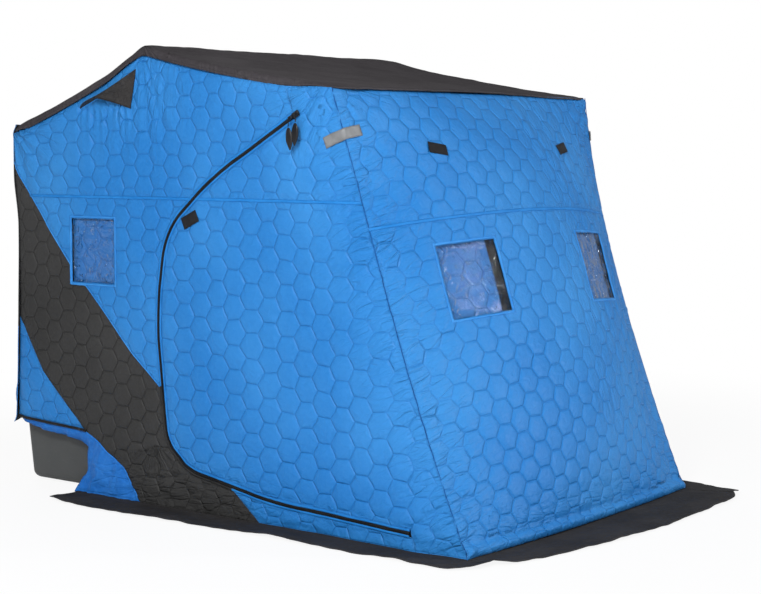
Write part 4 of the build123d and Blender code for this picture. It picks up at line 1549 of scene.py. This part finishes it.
# ================================================================ sled, frame and brackets
# The tub is moulded in one piece of dark polyethylene. The frame is square tube coated in dark
# grey, and pivots on bent steel brackets at the tub's sides.
def moulded_plastic():
    finish = Finish("moulded_plastic", Roughness=0.46)
    at = finish.place()
    broad = finish.cloud(at, 2.2, 3.0)
    scuff = finish.cloud(at, 26.0, 5.0, stretch=(1, 1, 5), distortion=0.6).between(0.56, 0.78)
    shade = finish.mix(broad.between(0.3, 0.7), paint(61, 63, 63), paint(71, 73, 73))
    finish.set("Base Color", finish.mix(scuff * 0.22, shade, paint(112, 114, 115)))
    finish.set("Roughness", 0.46 + 0.16 * scuff)
    finish.relief((finish.cloud(at, 420.0, 1.0) - 0.5) * 0.0003 + (broad - 0.5) * 0.004)
    return finish.material


def coated_metal(name, colour, worn, roughness):
    colour, worn = paint(*colour), paint(*worn)
    finish = Finish(name, Roughness=roughness, Metallic=0.2)
    at = finish.place()
    chips = finish.cloud(at, 55.0, 5.0).between(0.66, 0.72)
    finish.set("Base Color", finish.mix(chips * 0.6, colour, worn))
    finish.set("Roughness", roughness + 0.15 * (finish.cloud(at, 12.0, 2.0) - 0.5))
    finish.relief((finish.cloud(at, 600.0, 1.0) - 0.5) * 0.0002 - chips * 0.0002)
    return finish.material


coverings = {
    "sled_plastic": moulded_plastic(),
    "frame_tube": coated_metal("coated_tube", (58, 60, 62), (120, 122, 124), 0.42),
    "bracket_steel": coated_metal("coated_steel", (46, 47, 49), (130, 131, 133), 0.5),
}
# The tub's sides lean in a little towards its foot, and its rim turns out and down.
sled_top = 0.430
sled_foot = 0.014               # the hull rides this high on its runners
tub_half = 0.787
tub_front, tub_rear = 0.385, 1.474
middle_y = (tub_rear + tub_front) / 2
sled_corner = 0.042
hull_thickness = 0.006


def taper(height):
    """How far the hull's sides and its rear end lean in, at a height."""
    low = 1 - (height - sled_foot) / (sled_top - sled_foot)
    return 0.012 * low, 0.040 * low


hull = bmesh.new()
bmesh.ops.create_cube(hull, size=1.0)
size = Matrix.Diagonal((2 * tub_half, tub_rear - tub_front, sled_top - sled_foot, 1.0))
move(hull, Matrix.Translation((0, middle_y, (sled_top + sled_foot) / 2)) @ size)
upright = [e for e in hull.edges if abs(e.verts[0].co.z - e.verts[1].co.z) > 0.1]
soften(hull, upright, sled_corner, 10)
top = [face for face in hull.faces if face.calc_center_median().z > sled_top - 0.001]
bmesh.ops.delete(hull, geom=top, context="FACES_ONLY")
foot = [e for e in hull.edges if max(v.co.z for v in e.verts) < sled_foot + 0.001]
soften(hull, foot, 0.030, 6)
for level in (0.10, 0.20, 0.30):
    cut_along(hull, Vector((0, 0, level)), Vector((0, 0, 1)))
for vert in hull.verts:
    side_lean, end_lean = taper(vert.co.z)
    vert.co.x -= math.copysign(side_lean, vert.co.x)
    vert.co.y -= math.copysign(end_lean, vert.co.y - middle_y)
# The rim is drawn out from the hull's open edge and turned down.
core = (tub_half - sled_corner, (tub_rear - tub_front) / 2 - sled_corner)
for out, down in ((0.004, -0.002), (0.0045, 0.001), (0.0015, 0.004), (0.0, 0.026)):
    edge = [e for e in hull.edges if e.is_boundary]
    grown = bmesh.ops.extrude_edge_only(hull, edges=edge)["geom"]
    for vert in (g for g in grown if isinstance(g, bmesh.types.BMVert)):
        from_middle = vert.co.xy - Vector((0, middle_y))
        away = Vector([math.copysign(max(abs(a) - b, 0.0), a) for a, b in zip(from_middle, core)])
        vert.co += Vector((*(away.normalized() * out), -down))
bmesh.ops.recalc_face_normals(hull, faces=hull.faces[:])
hull_piece = piece_of(hull, "sled_hull", [coverings["sled_plastic"]])
thicken(hull_piece, hull_thickness)
keep(hull_piece, "sled_plastic", "sled_tub")
runner_size = (0.95, 0.045, 0.022)
runner_turn = Matrix.Rotation(math.pi / 2, 3, "Z")
for n, x in enumerate((-0.55, 0.0, 0.55)):
    spot = Vector((x, 0.925, runner_size[2] / 2))
    name = f"sled_runner_{n}"
    runner = rounded_block(name, runner_size, spot, runner_turn, coverings["sled_plastic"], 0.006)
    keep(runner, "sled_plastic")

frame_nodes = ["front_hoop", "ridge_hoop", "rear_hoop", "base_frame", "left_roof_rail", "right_roof_rail"]
made_of = {"left_pivot_bracket": "bracket_steel", "right_pivot_bracket": "bracket_steel"}
made_of.update({node: "frame_tube" for node in frame_nodes})
for node, covering in made_of.items():
    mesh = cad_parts[node].data
    mesh.materials.clear()
    mesh.materials.append(coverings[covering])

# ================================================================ stage
# A plain pale floor, soft studio lamps and the view.
bpy.ops.mesh.primitive_plane_add(size=60, location=(0, 0, -0.0005))
floor = bpy.context.object
floor.name = "floor"


def pale_ground():
    """Pale, kept from greying by a glow that only the camera sees."""
    finish = Finish("floor", Roughness=0.9)
    finish.set("Base Color", paint(244, 244, 245))
    path = finish.add("LightPath", output="Is Camera Ray")
    glow = finish.add("Emission", None, {"Color": (1, 1, 1, 1), "Strength": 1.0})
    away = finish.add("VectorMath", {"operation": "LENGTH"}, {0: finish.place()}, 1)
    share = 0.90 + 0.10 * away.between(2.2, 5.0)
    finish.show(path * share, finish.surface(), glow)
    return finish.material


floor.data.materials.append(pale_ground())

# White where the camera sees it, dimmer as a light.
world = bpy.data.worlds.new("studio")
bpy.context.scene.world = world
world.use_nodes = True
room = world.node_tree
back = room.nodes["Background"]
rays, seen, level = [room.nodes.new("ShaderNode" + kind) for kind in ("LightPath", "Math", "MapRange")]
seen.operation = "MAXIMUM"
level.inputs["To Min"].default_value = 0.34
level.inputs["To Max"].default_value = 1.0
back.inputs["Color"].default_value = (1, 1, 1, 1)
room.links.new(rays.outputs["Is Camera Ray"], seen.inputs[0])
room.links.new(rays.outputs["Is Transmission Ray"], seen.inputs[1])
room.links.new(seen.outputs[0], level.inputs["Value"])
room.links.new(level.outputs[0], back.inputs["Strength"])


def lamp(name, place, aim, power, size):
    light = bpy.data.lights.new(name, "AREA")
    light.energy = power
    light.shape = "RECTANGLE"
    light.size, light.size_y = size
    thing = bpy.data.objects.new(name, light)
    thing.location = place
    thing.rotation_euler = (Vector(aim) - Vector(place)).to_track_quat("-Z", "Y").to_euler()
    bpy.context.scene.collection.objects.link(thing)


lamp("key", (-6.0, -2.5, 3.9), (0, -0.3, 0.9), 350, (1.7, 1.3))
lamp("front", (2.7, -6.3, 1.2), (0.2, -0.8, 0.6), 104, (0.8, 0.8))
lamp("low", (-4.5, -5.5, 0.9), (0, -0.4, 0.6), 48, (1.6, 1.2))
lamp("high", (2.9, -5.6, 5.0), (0.0, -1.0, 0.8), 78, (0.7, 0.3))
lamp("back", (3.4, 7.0, 4.0), (0, 0, 1), 130, (3.0, 3.0))

camera = bpy.data.objects.new("camera", bpy.data.cameras.new("camera"))
camera.location = (-6.183, -4.913, 1.582)
heading, pitch, roll = (math.radians(angle) for angle in (52.139, 4.930, 0.127))
camera.rotation_euler = (math.pi / 2 - pitch, roll, -heading)
camera.data.lens = 80.66
camera.data.sensor_width = 36.0
bpy.context.scene.collection.objects.link(camera)
bpy.context.scene.camera = camera
bpy.context.scene.view_settings.view_transform = "Standard"
